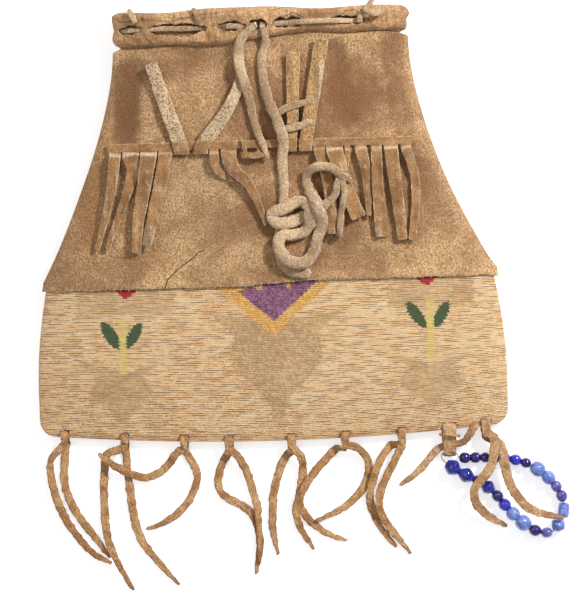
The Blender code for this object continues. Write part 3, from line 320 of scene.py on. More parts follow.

# Stitched seam of the casing and the folded edges of its cuts, pressed in and painted dark as their shade:
# points, half width and strength
CASING_FOLDS = [
    ([(-78, 206.5), (-66, 205.5), (-50, 203.2), (-28, 203.6), (-14, 207.5), (-2, 209.8)], 0.5, 0.8),
    ([(-2, 209.8), (14, 211.8), (34, 212.4), (56, 211.6), (74, 212.6), (92, 214.2)], 0.5, 0.8),
    ([(-93, 222.5), (-76, 223.4), (-60, 221.2), (-44, 225.2), (-28, 226)], 0.35, 0.6),
    ([(4, 226.5), (14, 229.6), (30, 228.2), (46, 229.8), (66, 231)], 0.35, 0.7),
    ([(-80, 218), (-76, 212), (-71, 206)], 0.45, 0.7),
    ([(5, 217), (11, 219), (14.5, 223), (19.5, 225), (25, 222.5), (29, 218.5)], 0.5, 0.75),
    ([(44, 218), (49, 221.5), (54, 225.5), (60, 225.5), (65, 222)], 0.5, 0.75),
    ([(68, 220), (71, 216), (70, 212)], 0.4, 0.7),
    ([(84, 222.5), (90, 220), (92.5, 215)], 0.4, 0.7),
]


def suede(name, base, dark, pale, nap, stains_and_fold_shade=(), crack=(), folds=(), hollows=(), flesh_from=None,
          grain=1.0, cloud=34.0, rim=None, pleats=0.0):
    """Smoked buckskin: clouded colour, a short nap, rubbed edges, stains, and painted shade in hollows,
    folds and pleats.
    """
    finish = Finish(name, base)
    paint = finish.paint
    clouds = finish.noise(cloud, detail=5, bend=0.6)
    mottle = finish.noise(MOTTLE_SIZE, detail=4, bend=0.4, seed=7.0)
    fluff = finish.noise(NAP_SIZE, detail=4, stretch=(1.0, 1.3, 1.0), seed=3.0)
    specks = finish.noise(SPECK_SIZE, seed=9.0)
    paint(clouds.step(0.36, 0.66) * 0.7, dark)
    paint(mottle.step(0.46, 0.8) * 0.3, pale)
    # Stains, and dark marks painted as the shade in the hide's folds
    for x, y, wide, high, colour, strength in stains_and_fold_shade:
        across = (finish.x - x) / wide
        up = (finish.y - y) / high
        spread = across * across + up * up + (clouds - 0.5) * 1.6 + (mottle - 0.5) * 0.9
        paint(spread.step(1.0, 0.1) * strength, colour)
    # The hollows are painted darker too, as their shade with some grime
    for start, end, half, depth in hollows:
        along, aside, length = beside(finish.x, finish.y, start, end)
        past = along - along.most(0.0).least(length)
        far = (aside * aside + past * past) / (half * half) + (mottle - 0.5) * 0.8
        paint(far.step(1.3, 0.0) * min(0.75, 0.3 * depth), dark)
    if flesh_from is not None:
        inner = finish.blend(finish.x.step(-12, 6), FLESH, FLESH_WARM)
        inner = finish.blend(fluff.step(0.5, 0.66) * 0.75, inner, FLESH_DARK)
        paint(finish.y.step(flesh_from - 1.5, flesh_from + 1.5), inner)
    # Cut and rubbed edges are painted pale; a rim colour paints them dark instead, as the shade of a rounded
    # thong with some grime
    edge = finish.node("ShaderNodeAttribute", {"attribute_name": "edge"}, {})["Fac"]
    paint(edge.step(0.15, 0.7) * 0.85, rim or pale)
    deep = finish.blend(0.85, finish.colour, dark)
    paint(fluff.step(0.36, 0.68) * (0.6 * grain), deep)
    paint(specks.step(0.52, 0.36) * (0.5 * grain), deep)
    paint(specks.step(0.55, 0.74) * (0.12 * grain), pale)
    height = fluff * 1.1 + specks * 0.6 + mottle * 0.5
    if pleats:
        # The gathers are pressed in and painted darker as their shade
        gathers = finish.noise(GATHER_SIZE, stretch=(1.0, 4.5, 4.5), seed=17.0)
        paint(gathers.step(0.48, 0.74) * pleats, dark)
        height = height - gathers * (2.6 * pleats)
    # Dark lines painted as the shade along the seam and the folded edges, on the front only
    for points, width, strength in folds:
        fold = crack_mask(finish, points, width, 1.2)
        paint(fold * finish.z.step(8, 12) * (strength * 0.55), SEAM_AND_FOLD_SHADE)
        height = height - fold * 1.2
    if crack:
        split = crack_mask(finish, crack, 0.42, 2.0)
        paint(split, SPLIT_BROWN)
        height = height - split * 2.4
    return finish.done(0.93 - specks * 0.08, height, depth=0.5 * nap, Sheen_Weight=0.15)


def crack_mask(finish, points, width, wander):
    """1 on a thin ragged line through points, 0 beside it."""
    sway = (finish.noise(SWAY_SIZE, seed=21.0) - 0.5) * wander
    lines = []
    for start, end in zip(points, points[1:]):
        along, aside, length = beside(finish.x, finish.y, start, end)
        inside = along.step(-0.3, 0.2) * along.step(length + 0.3, length - 0.2)
        lines.append((aside + sway).size().step(width, width * 0.4) * inside)
    return any_of(lines)


# Husk and its dyes as a screen shows them, and sizes of its marks
HUSK = (250, 207, 156)
HUSK_TAN = (240, 186, 130)
HUSK_DARK = (204, 146, 92)
HUSK_PALE = (255, 238, 194)
HUSK_LINE = (112, 56, 4)
FADED = (230, 194, 144)
FADED_DARK = (178, 138, 92)
YELLOW = (226, 160, 66)
YELLOW_PALE = (255, 212, 134)
PURPLE = (112, 66, 104)
PURPLE_PALE = (176, 124, 156)
GREEN = (58, 92, 60)
GREEN_PALE = (96, 116, 78)
STEM = (240, 216, 128)
RED = (178, 40, 52)
RED_PALE = (206, 74, 74)
PATCH_SIZE = 46
CLOUD_SIZE = 13
DASH_LENGTH = 8.0
GAP_LENGTH = 10.0
FIBRE_SIZE = 0.6

# Faded flowers: a foot, a round body and two lobes, as shares of the height and half widths
MIDDLE_BULB = [(0, 4), (0.085, 4.5), (0.2, 8), (0.34, 18), (0.5, 28.5), (0.58, 30), (0.67, 29.5),
               (0.79, 27), (0.9, 35), (1, 44)]
SIDE_BULB = [(0, 3.3), (0.18, 5.5), (0.385, 18.5), (0.51, 21), (0.62, 19), (0.74, 13.5), (0.85, 18),
             (0.95, 25), (1, 24)]

# Woven fields, in millimetres on the bag
# Flowers: middle, top, foot, outline, the dip between the lobes, strength
FLOWERS = [(3.0, 33, -37, MIDDLE_BULB, 0.12, 1.0), (-98.5, 2.0, -37, SIDE_BULB, 0.2, 0.8),
           (103, 3.0, -33, SIDE_BULB, 0.2, 0.8)]
# Bands, notches and stems: left, right, foot, top
FADED_BANDS = [(-126, -62, 33, 52), (76, 132, 33, 52)]
NOTCHES = [(-8.8, -5.6, 46.6, 56), (10.2, 13.2, 47.6, 56)]
STEMS = [(-99.2, -94.2, -5.8, 30.3), (100.2, 105.4, -1.5, 38)]
# Wedges: middle, tip, top, slope
YELLOW_WEDGE = (1.0, 17, 52, 0.88)
PURPLE_WEDGE = (1.7, 26.5, 54, 0.88)
RED_WEDGES = [(-94.0, 43.0, 49.8, 0.84), (101.5, 46.5, 54, 0.8)]
# The purple's slanting top: height at a place across, and slope
SLANT_HEIGHT = 47.4
SLANT_AT = -18.0
SLANT = 0.35
# Leaves: foot, tip, half width
LEAVES = [((-98.8, 11.0), (-110.6, 29.2), 8.0), ((-94.6, 11.5), (-84.4, 28.0), 7.4),
          ((100, 19.5), (88, 37), 7.4), ((105.6, 19.5), (115.5, 36.5), 7.4)]


def wedge(x, y, middle, tip, top, slope):
    """1 inside an upright V that opens upwards from its tip."""
    across = (x - middle).size()
    return (y - tip - across * slope).step(-0.2, 0.2) * y.step(top + 0.2, top - 0.2)


def slab(x, y, left, right, low, high):
    return x.between(left, right) * y.between(low, high)


def leaf(x, y, foot, tip, width):
    """1 inside a leaf from foot to tip, widest in its middle."""
    run, aside, length = beside(x, y, foot, tip)
    along = run / length
    half = (along * (1.0 - along)).most(0.0) ** 0.6 * 1.15 * width
    return (half - aside.size()).step(-0.2, 0.2)


def half_width(share, points):
    """Straight runs through points of share and half width."""
    slope = 0.0
    total = points[0][1]
    for (a, low), (b, high) in zip(points, points[1:]):
        change = (high - low) / (b - a) - slope
        slope += change
        total = (share - a).most(0.0) * change + total
    return total


def bulb(x, y, middle, top, low, points, dip):
    """1 inside a faded flower."""
    across = (x - middle).size()
    share = (y - low) / (top - low)
    inside = (half_width(share, points) - across).step(-0.8, 0.8)
    notch = (share - 1.0 + (1.0 - across / points[-1][1]) * dip).step(-0.015, 0.015)
    return inside * share.step(-0.01, 0.01) * (1 - notch)


def husk_finish():
    """Rows of twined husk, each stitch a little different, with the woven fields."""
    finish = Finish("twined_husk")
    paint = finish.paint
    across = finish.x / (POCKET_WIDTH / 2)
    bow = (1.0 - across * across) * BOTTOM_BOW
    level = (finish.y - POCKET_BOTTOM + bow) / (bow + POCKET_HEIGHT) * ROWS
    row = level.whole()
    in_row = level.part()
    odd = (row * 0.5).part() * 2
    column = finish.x / STITCH + in_row * 0.45 + odd * 0.5
    cell = column.whole()
    in_cell = column.part()
    tone = finish.chance(cell, row)
    x = cell * STITCH
    y = (row + 0.5) / ROWS * (bow + POCKET_HEIGHT) + POCKET_BOTTOM - bow
    patch = finish.noise(PATCH_SIZE, seed=4.0)
    cloud = finish.noise(CLOUD_SIZE, detail=4, stretch=(1.8, 0.8, 1), seed=14.0)
    dash = finish.noise(1, detail=2, at=(finish.x / DASH_LENGTH, row * 7.31, finish.z * 0.02), seed=12.0)
    between = (level + 0.5).whole()
    gap = finish.noise(1, at=(finish.x / GAP_LENGTH, between * 5.77, finish.z * 0.02), seed=40.0)
    finish.colour = finish.blend(patch.step(0.38, 0.66) * 0.45, HUSK, HUSK_TAN)
    paint(cloud.step(0.54, 0.76) * 0.3, HUSK_DARK)
    paint(dash.step(0.54, 0.34) * 0.5, HUSK_PALE)
    paint(dash.step(0.54, 0.7) * 0.4, HUSK_DARK)
    paint(tone.step(0.5, 1.0) * 0.6, HUSK_PALE)
    paint(tone.step(0.3, 0.0) * 0.3, HUSK_DARK)
    front = finish.z.step(4.0, 7.0)

    fray = x + (tone - 0.5) * 1.8
    faded = any_of([bulb(fray, y, *flower) * strength for *flower, strength in FLOWERS])
    worn = (tone + patch * 0.6).step(0.2, 0.8) * 0.7
    faded = any_of([faded] + [slab(fray, y, *band) * worn for band in FADED_BANDS])
    shade = (cloud + tone * 0.7).step(0.5, 1.1)
    paint(faded * (1.0 - tone * 0.25) * front, finish.blend(shade * 0.85, FADED, FADED_DARK))
    paint(level.step(7.0, 1.0) * 0.35, HUSK_DARK)

    yellow = wedge(x, y, *YELLOW_WEDGE)
    purple = wedge(x, y, *PURPLE_WEDGE)
    cut = any_of([slab(x, y, *notch) for notch in NOTCHES])
    kept = (1 - cut) * (y - SLANT_HEIGHT - (x - SLANT_AT) * SLANT).step(0.3, -0.3)
    stems = any_of([slab(x, y, *stem) for stem in STEMS])
    leaves = any_of([leaf(x, y, *place) for place in LEAVES])
    reds = any_of([wedge(x, y, *tip) for tip in RED_WEDGES])
    paint(yellow * front, finish.blend(tone, YELLOW, YELLOW_PALE))
    paint(purple * kept * front, finish.blend(tone, PURPLE, PURPLE_PALE))
    paint(leaves * front, finish.blend(tone * 0.45, GREEN, GREEN_PALE))
    paint(stems * (0.95 - tone * 0.25) * front, STEM)
    paint(reds * front, finish.blend(tone * 0.4, RED, RED_PALE))
    plain = 1 - any_of([faded, yellow, purple, leaves, stems, reds]) * front * 0.6

    valley = (in_row - 0.5).size().step(0.19, 0.44)
    side = (in_cell - 0.5).size().step(0.2, 0.46)
    paint(valley * gap.step(0.46, 0.58) * plain * 0.95, HUSK_LINE)
    paint(valley * side * tone.step(0.0, 0.6), HUSK_LINE)
    paint(side * 0.14, HUSK_LINE)
    fibre = finish.noise(FIBRE_SIZE, stretch=(2.5, 0.6, 1), seed=5.0)
    height = (1 - valley) * 0.7 + (1 - side) * 0.5 + tone * 0.35 + fibre * 0.25
    return finish.done(0.82 - tone * 0.1, height, depth=0.26)


PIT_BLUE = (170, 180, 220)


def glass_finish(name, deep, light, clear):
    """Old pressed glass: seeds, streaks and a worn skin."""
    finish = Finish(name, deep)
    swirl = finish.noise(5, stretch=(1, 1, 2.2), bend=1.2)
    pits = finish.noise(0.7, detail=2, seed=2.0)
    wear = finish.noise(2.4, seed=6.0)
    finish.paint(swirl.step(0.35, 0.68), light)
    finish.paint(pits.step(0.64, 0.74) * 0.35, PIT_BLUE)
    return finish.done(0.05 + wear * 0.14, pits, depth=0.05, Coat_Weight=0.8, Transmission_Weight=clear,
                       IOR=1.52)


def make_finishes():
    return {
        "hide": suede("smoked_buckskin", (240, 196, 142), (134, 90, 54), (255, 228, 182),
                      stains_and_fold_shade=STAINS_AND_FOLD_SHADE, crack=TEAR, hollows=HOLLOWS, nap=1.6, grain=1.45),
        "casing": suede("casing_buckskin", (234, 190, 138), (148, 98, 56), (255, 230, 188),
                        folds=CASING_FOLDS, cloud=22.0, nap=1.5, grain=1.2, pleats=0.6),
        "fringe": suede("fringe_buckskin", (190, 142, 90), (126, 82, 44), (255, 234, 198),
                        nap=1.1, flesh_from=144.0, cloud=14.0),
        "lace": suede("lace_buckskin", (240, 206, 162), (136, 98, 62), (255, 238, 208), nap=1.7),
        # Thongs: the rim colour darkens their edges as painted shade of their round section, with some grime
        "thong": suede("thong_buckskin", (234, 184, 128), (138, 84, 40), (255, 224, 180), nap=1.6,
                       cloud=12.0, rim=(140, 84, 40)),
        "thong_pale": suede("pale_thong_buckskin", (238, 194, 144), (150, 100, 58), (255, 228, 188),
                            nap=1.6, cloud=12.0, rim=(160, 106, 62)),
        "husk": husk_finish(),
        "cobalt": glass_finish("cobalt_glass", (20, 22, 132), (40, 58, 184), 0.15),
        "bright": glass_finish("bright_blue_glass", (34, 34, 190), (70, 76, 232), 0.3),
        "dark": glass_finish("dark_violet_glass", (26, 10, 92), (54, 34, 140), 0.25),
        "violet": glass_finish("faded_violet_glass", (78, 68, 164), (130, 124, 206), 0.2),
        "milky": glass_finish("milky_blue_glass", (88, 112, 200), (140, 160, 226), 0.0),
        "sinew": suede("sinew_thread", (212, 184, 138), (150, 118, 76), (236, 214, 172), nap=0.4),
    }


# Making meshes

# Points nearer than this, in metres, are one point, and how strongly an outer edge is marked
SAME_POINT = 0.00001
EDGE_GAIN = 2.2


def active(thing):
    bpy.ops.object.select_all(action="DESELECT")
    thing.select_set(True)
    bpy.context.view_layer.objects.active = thing


def joined(things):
    active(things[0])
    for thing in things:
        thing.select_set(True)
    bpy.ops.object.join()
    return bpy.context.active_object


def shaped(place):
    """The new primitive, each of its points put where place says in millimetres."""
    thing = bpy.context.active_object
    for point in thing.data.vertices:
        point.co = Vector(place(point.co)) * MM
    return thing


def applied(thing, kind, **settings):
    """Adds a modifier and applies it."""
    active(thing)
    made = thing.modifiers.new(kind.title(), kind)
    for name, value in settings.items():
        setattr(made, name, value)
    bpy.ops.object.modifier_apply(modifier=made.name)


def cut_away(thing, cutters):
    """Takes the cutters out of a piece."""
    cutter = joined(cutters)
    applied(thing, "BOOLEAN", operation="DIFFERENCE", solver="EXACT", object=cutter)
    bpy.data.objects.remove(cutter)


def wrapped(columns, rows, place):
    """A skin that goes round by columns and along by rows, each as a share from 0 to 1."""
    bpy.ops.mesh.primitive_grid_add(x_subdivisions=columns, y_subdivisions=rows, size=1)
    thing = shaped(lambda spot: place(spot.x + 0.5, spot.y + 0.5))
    bpy.ops.object.mode_set(mode="EDIT")
    bpy.ops.mesh.select_all(action="SELECT")
    bpy.ops.mesh.remove_doubles(threshold=SAME_POINT)
    bpy.ops.mesh.normals_make_consistent(inside=False)
    bpy.ops.object.mode_set(mode="OBJECT")
    bpy.ops.object.shade_smooth()
    return thing


def mark_edges(mesh, sides):
    """Stores how far each point stands out of its neighbours, and on strips which are the cut sides."""
    total = [0.0] * len(mesh.vertices)
    count = [0] * len(mesh.vertices)
    spots = [point.co.copy() for point in mesh.vertices]
    ways_out = [point.normal.copy() for point in mesh.vertices]
    for edge in mesh.edges:
        a, b = edge.vertices
        run = (spots[b] - spots[a]).normalized()
        total[a] -= run.dot(ways_out[a])
        total[b] += run.dot(ways_out[b])
        count[a] += 1
        count[b] += 1
    values = [min(1.0, max(0.0, EDGE_GAIN * t / max(1, c), sides * (1 - abs(way_out.z)) ** 0.6))
              for t, c, way_out in zip(total, count, ways_out)]
    mesh.attributes.new("edge", "FLOAT", "POINT").data.foreach_set("value", values)


def finished(thing, name, finish, node=None, sides=0.0):
    """Names a piece, gives it its material, marks its edges, puts it on the body and hides its CAD node."""
    thing.name = name
    thing.data.name = name
    thing.data.materials.clear()
    thing.data.materials.append(FINISHES[finish])
    mark_edges(thing.data, sides)
    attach(thing, BODY)
    if node:
        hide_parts(node)
    return thing


def dressed(node, name, finish, crease, lumps, levels=3, size=5.0, swell=0.0, lift=None, sides=0.0):
    """A soft, uneven copy of a CAD node; lift gives how far each place is raised."""
    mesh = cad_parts[node].data.copy()
    thing = bpy.data.objects.new(name, mesh)
    bpy.context.scene.collection.objects.link(thing)
    active(thing)
    bpy.ops.object.mode_set(mode="EDIT")
    bpy.ops.mesh.select_all(action="SELECT")
    bpy.ops.mesh.remove_doubles(threshold=2 * SAME_POINT)
    bpy.ops.mesh.tris_convert_to_quads(face_threshold=0.9, shape_threshold=1.2)
    bpy.ops.mesh.select_all(action="DESELECT")
    bpy.ops.mesh.select_mode(type="EDGE")
    bpy.ops.mesh.edges_select_sharp(sharpness=radians(50))
    bpy.ops.transform.edge_crease(value=crease)
    bpy.ops.mesh.select_mode(type="VERT")
    bpy.ops.object.mode_set(mode="OBJECT")
    applied(thing, "SUBSURF", levels=levels, render_levels=levels)
    ways_out = [point.normal.copy() for point in thing.data.vertices]
    for point, way_out in zip(thing.data.vertices, ways_out):
        spot = point.co / MM
        bump = rough(spot.x + spot.z, spot.y, size, seed=spot.z / size) * lumps + swell
        point.co += way_out * bump * MM
        if lift:
            point.co.z += lift(spot.x, spot.y) * MM
    bpy.ops.object.shade_smooth()
    return finished(thing, name, finish, node, sides=sides)


# Shapes of the bag, as its solids have them

# The share of the points round the hide and the casing that lie in front
FRONT_SHARE = 0.62


def round_share(a, front_share=FRONT_SHARE):
    """Where a share of the way round lies: from -1 to 1 across the bag, and whether in front."""
    if a < front_share:
        return sin(pi * (a / front_share - 0.5)), True
    return -sin(pi * ((a - front_share) / (1 - front_share) - 0.5)), False


def section_height(u, front, low, high, lift=0.0):
    """The height of the outline across the bag: a round front, raised by lift, and a flat back."""
    tip = low + TIP_SHARE * (high - low)
    if front:
        return tip + (high - tip + lift) * sqrt(max(0.0, 1 - u ** 4))
    return tip - (tip - low) * sqrt(max(0.0, 1 - u ** 24))


def pocket_half_width(y):
    swell = max(0.0, (y - POCKET_BOTTOM) / POCKET_HEIGHT - 0.3) / 0.7
    half = POCKET_WIDTH / 2 - POCKET_TAPER * swell ** 2
    rise = y - POCKET_BOTTOM
    if rise < POCKET_CORNER:
        half -= POCKET_CORNER - sqrt(max(0.0, POCKET_CORNER ** 2 - (POCKET_CORNER - rise) ** 2))
    return half


def pocket_front(s):
    closed = HEM_LIFT + HEM_THICKNESS
    return closed + (POCKET_DEPTH - closed) * sin(pi / 2 * min(1.0, s / 0.45))


def pocket_back(s):
    rise = HEM_LIFT * max(0.0, 1 - s / 0.13) ** 2
    return rise + (HIDE_WALL + SEAM_GAP) * smooth_step((s - 0.84) / 0.1)


def row_height(u, s):
    return POCKET_BOTTOM + POCKET_HEIGHT * s - BOTTOM_BOW * (1 - s) * (1 - u * u)


# The pocket's skin: points across, points a row, and the share of its length that is outside
POCKET_COLUMNS = 210
ROW_POINTS = 3
OUTER_SHARE = 0.88
HEM_FLOOR = HEM_HEIGHT / POCKET_HEIGHT


def pocket_place(a, b):
    """The pocket's skin: out along the rows to the top, then down the inside to the hem."""
    if b <= OUTER_SHARE:
        s = b / OUTER_SHARE
        inset = 0.0
        relief = ROW_RELIEF * (abs(sin(pi * s * ROWS)) - 0.5)
        flat = 1.0 if s > 0 else 0.0
    else:
        t = (b - OUTER_SHARE) / (1 - OUTER_SHARE)
        s = 1 + (HEM_FLOOR - 1) * t
        inset = POCKET_WALL
        relief = 0.0
        flat = 1.0 if t < 1 else 0.0
    half = pocket_half_width(POCKET_BOTTOM + POCKET_HEIGHT * s) - SIDE_STRETCH * inset + relief / 2
    low = pocket_back(s) + inset
    high = pocket_front(s) - inset
    middle = (low + high) / 2
    low = middle + (low - middle) * flat
    high = middle + (high - middle) * flat
    u, front = round_share(a, 0.5)
    x = half * u
    z = section_height(u, front, low, high)
    wave = 0.35 * rough(x, s * POCKET_HEIGHT, 30, 2.0) * smooth_step(s / 0.15) * smooth_step((1 - s) / 0.1)
    if front and inset == 0:
        z += (relief + wave) * (1 - u ** 8) * flat
    return x, row_height(u, s), z


def husk_pocket():
    thing = wrapped(POCKET_COLUMNS, int(ROW_POINTS * ROWS / OUTER_SHARE), pocket_place)
    cutters = []
    for x, width in HOLES:
        middle = row_height(x / pocket_half_width(POCKET_BOTTOM), 0) + HOLE_RISE
        wide = width + HOLE_PLAY
        high = THONG_THICKNESS + HOLE_PLAY
        bpy.ops.mesh.primitive_cube_add(size=1)
        cutters.append(shaped(lambda spot: (x + spot.x * wide, middle + spot.y * high,
                                            HOLE_LEVEL + spot.z * HOLE_REACH)))
    cut_away(thing, cutters)
    return finished(thing, "twined_pocket", "husk", "husk_pocket")


def hide_half_width(y, right_side=False):
    """Half the upper's width at a height; each side tucks in just below the casing's foot."""
    lap = pocket_half_width(min(y, POCKET_TOP)) + SEAM_GAP + HIDE_WALL * SIDE_STRETCH
    if y <= LAP_TOP:
        return lap
    share = max(0.0, (CASING_FOOT - y) / (CASING_FOOT - LAP_TOP))
    shoulder = MOUTH_WIDTH / 2 + NECK_TUCK
    foot = CASING_FOOT + CASING_SLANT if right_side else CASING_FOOT
    tuck = NECK_TUCK * smooth_step((y - foot + 3.4) / 3.2)
    return shoulder + (lap - shoulder) * share ** SHOULDER_POWER - tuck


def edge_rise(x, y):
    """How far the upper's lower edge climbs to the right; nothing higher up."""
    return EDGE_RISE * smooth_step((x + 30) / 60) * (1 - smooth_step((y - HIDE_BOTTOM) / EDGE_FADE))


def edge_waver(x):
    return 0.7 * rough(x, 0, 11, 8.0)


def hide_shift(y):
    return MOUTH_SHIFT * smooth_step((y - LAP_TOP) / (MOUTH_TOP - LAP_TOP) * 2.5)


def hide_back(y):
    return MOUTH_LOW * smooth_step((y - CASING_FOOT + 22) / 16)


def hide_front(y):
    low = POCKET_DEPTH + SEAM_GAP + HIDE_WALL
    return low + (MOUTH_HIGH - low) * smooth_step((y - LAP_TOP) / (MOUTH_TOP - LAP_TOP - 20))


def fold_height(x, y):
    rise = smooth_step((y - LAP_TOP - 12) / (CASING_FOOT - LAP_TOP - 22))
    along = smooth_step((y - LAP_TOP) / (CASING_FOOT - LAP_TOP))
    total = 0.0
    for at_mouth, low_down, half, height in FOLDS:
        centre = low_down + (at_mouth - low_down) * along
        total += height * exp(-((x - centre) / half) ** 2)
    return total * rise


def hollow(x, y):
    """How deep the hide sags at a place."""
    total = 0.0
    for start, end, half, depth in HOLLOWS:
        along, aside, length = beside(x, y, start, end)
        far = hypot(aside, along - max(0.0, min(length, along))) / half
        total += depth * exp(-far * far)
    return total


def wrinkle(x, y):
    """Small soft dents of the hide, hollows, and gathers under the casing."""
    dents = 0.8 * rough(x, y, 26, 1.0) - 0.3 + 0.34 * rough(x, y * 0.8, 8, 4.0)
    near = smooth_step((y - CASING_FOOT + 34) / 26)
    gathers = near * (0.8 * rough(x, y * 0.22, 8.5, 6.0) - 0.5)
    return dents + gathers - hollow(x, y)


# The hide's skin: points round, points along, and the shares where it turns over its edges
HIDE_COLUMNS = 290
HIDE_ROWS = 160
HIDE_OUTER = 0.86
HIDE_INNER = 1 - 2 / HIDE_ROWS


def hide_place(a, b):
    """The upper's skin: up the outside from its lower edge, down inside and back round the edge."""
    if b <= HIDE_OUTER:
        t = b / HIDE_OUTER
        inset = 0.0
    elif b <= HIDE_INNER + 0.0001:
        t = max(0.0, 1 - (b - HIDE_OUTER) / (HIDE_INNER - HIDE_OUTER))
        inset = HIDE_WALL
    else:
        t = 0.0
        inset = HIDE_WALL / 2 if b < 0.9999 else 0.0
    y = HIDE_BOTTOM + HIDE_HEIGHT * t
    half = hide_half_width(y) - SIDE_STRETCH * inset
    wider = hide_half_width(y, right_side=True) / hide_half_width(y)
    shift = hide_shift(y)
    u, front = round_share(a)
    x = half * u
    z = section_height(u, front, hide_back(y) + inset, hide_front(y) - inset, fold_height(x + shift, y))
    settle = smooth_step((y - HIDE_BOTTOM) / 8) * smooth_step((MOUTH_TOP - 10 - y) / 12)
    if front:
        z += wrinkle(x, y) * (1 - u ** 8) * settle
    low_edge = max(0.0, 1 - (y - HIDE_BOTTOM) / 3.0)
    uneven = edge_waver(x) * low_edge
    if front and not inset:
        z += 0.35 * sin(pi * min(1.0, (y - HIDE_BOTTOM) / 3.4)) * (1 - u ** 8)
    across = x * (wider if x > 0 else 1) + shift
    return across, y + uneven + edge_rise(across, y), z


def hide_upper():
    thing = wrapped(HIDE_COLUMNS, HIDE_ROWS, hide_place)
    return finished(thing, "buckskin_upper", "hide", "hide_upper")


# Casing round the mouth

# Slits: middle and half length as shares of the mouth's half width, and their reach down and up.
# Their cutters are a little shorter, and stand from over the hide to over the casing.
SLITS = [(-0.94, 0.09, 3.1, 3.1), (-0.6, 0.22, 6.2, 3.6), (-0.205, 0.108, 3.0, 4.0),
         (-0.015, 0.07, 3.6, 4.2), (0.2, 0.115, 3.4, 4.2), (0.63, 0.14, 2.6, 3.8)]
SLIT_LENGTH = 0.97
SLIT_FLOOR = 1.5
SLIT_ABOVE = 4.0
CASING_COLUMNS = 420
CASING_ROWS = 102
CASING_GRAIN = 0.58


def rim_rise(u):
    return 1.1 * cos(5.2 * u + 0.6) + 0.5 * sin(11 * u)


def casing_profile(u):
    """The casing's closed section at a place across: height on the bag and distance off the hide."""
    top = MOUTH_TOP
    foot = CASING_FOOT + CASING_SLANT * smooth_step((u + 0.2) / 0.4) - 0.6 * (1 + sin(13 * u))
    rim = rim_rise(u)
    inside = HIDE_WALL + GAP
    lip = inside + CASING_WALL
    cavity = GAP + CAVITY
    return [(foot, GAP), (foot, GAP + CASING_WALL), (foot + 2.6, CASING_OUT), (top - 1, CASING_OUT),
            (top + 0.8, CASING_OUT + RIM_OVERHANG), (top + 3.6 + rim, CASING_OUT + 0.4),
            (top + 5.6 + rim, 3.4), (top + 6.1 + rim, 1.0), (top + 5.1 + rim, -1.8), (top + 2.5, -lip - 0.2),
            (top - LIP_DEPTH, -lip), (top - LIP_DEPTH, -inside), (top + GAP, -inside), (top + GAP, GAP),
            (top - 0.5, GAP), (top - 0.5, cavity), (foot + 3.6, cavity)]


def mouth_point(share, front, y, out):
    """A point over the upper at the mouth, at a share across it."""
    half = MOUTH_WIDTH / 2
    fold = fold_height(half * share + MOUTH_SHIFT, MOUTH_TOP)
    z = section_height(share, front, MOUTH_LOW - out, MOUTH_HIGH + out, fold)
    return Vector(((half + SIDE_STRETCH * out) * share + MOUTH_SHIFT, y, z))


def lace_height(u):
    return MOUTH_TOP - LACE_DROP + LACE_CLIMB * smooth_step((u + 0.2) / 0.4)


def profile_at(corners, t, softness=0.22):
    """A point on a closed profile with its corners a little rounded."""
    count = len(corners)
    at = t * count
    k = int(at)
    f = at - k
    before, a, b, after = [Vector(corners[(k + step) % count]) for step in (-1, 0, 1, 2)]
    if f < softness:
        g = 0.5 + f / softness / 2
        return before.lerp(a, 1 - softness).lerp(a, g).lerp(a.lerp(b, softness), g)
    if f > 1 - softness:
        g = (f - 1 + softness) / softness / 2
        return a.lerp(b, 1 - softness).lerp(b, g).lerp(b.lerp(after, softness), g)
    return a.lerp(b, f)


def casing_place(a, b):
    u, front = round_share(a)
    y, out = profile_at(casing_profile(u), b)
    wall = 1.0 if out > GAP + CAVITY + 0.3 or y > MOUTH_TOP + 1 else 0.0
    x = MOUTH_WIDTH / 2 * u
    creases = 1.25 * rough(x, y * 0.15, 3.0, 11.0) * smooth_step((y - MOUTH_TOP + 3) / 4)
    band = 0.85 * rough(x * 0.7, y, 5.0, 13.0) * smooth_step((MOUTH_TOP - y) / 3)
    return mouth_point(u, front, y, out + wall * (creases + band - 0.15))


def mouth_casing():
    thing = wrapped(CASING_COLUMNS, CASING_ROWS, casing_place)
    cutters = []
    for share, half_share, below, above in SLITS:
        middle = mouth_point(share, True, lace_height(share), 0)
        half = SLIT_LENGTH * half_share * MOUTH_WIDTH / 2
        heights = [mouth_point(end, True, 0, 0).z for end in (max(-1, share - half_share), share,
                                                              min(1, share + half_share))]

        def place(spot):
            x = middle.x + half * spot.x
            reach = above if spot.y > 0 else below
            y = middle.y + reach * spot.y * (0.86 + 0.34 * rough(x, spot.y * 9, 4.2, 5.0))
            low = spot.z < 0
            return x, y, min(heights) + SLIT_FLOOR if low else max(heights) + CASING_OUT + SLIT_ABOVE

        bpy.ops.mesh.primitive_cylinder_add(vertices=60, radius=1, depth=1)
        cutters.append(shaped(place))
    cut_away(thing, cutters)
    applied(thing, "REMESH", mode="VOXEL", voxel_size=CASING_GRAIN * MM, use_smooth_shade=True)
    applied(thing, "SMOOTH", factor=0.5, iterations=2)
    return finished(thing, "buckskin_casing", "casing", "mouth_casing")


# Laces: routes repeated from the solids, laid over the pieces below

INSIDE = GAP + CAVITY / 2
OUTSIDE = CASING_OUT + LAID_GAP + LACE_THICKNESS / 2
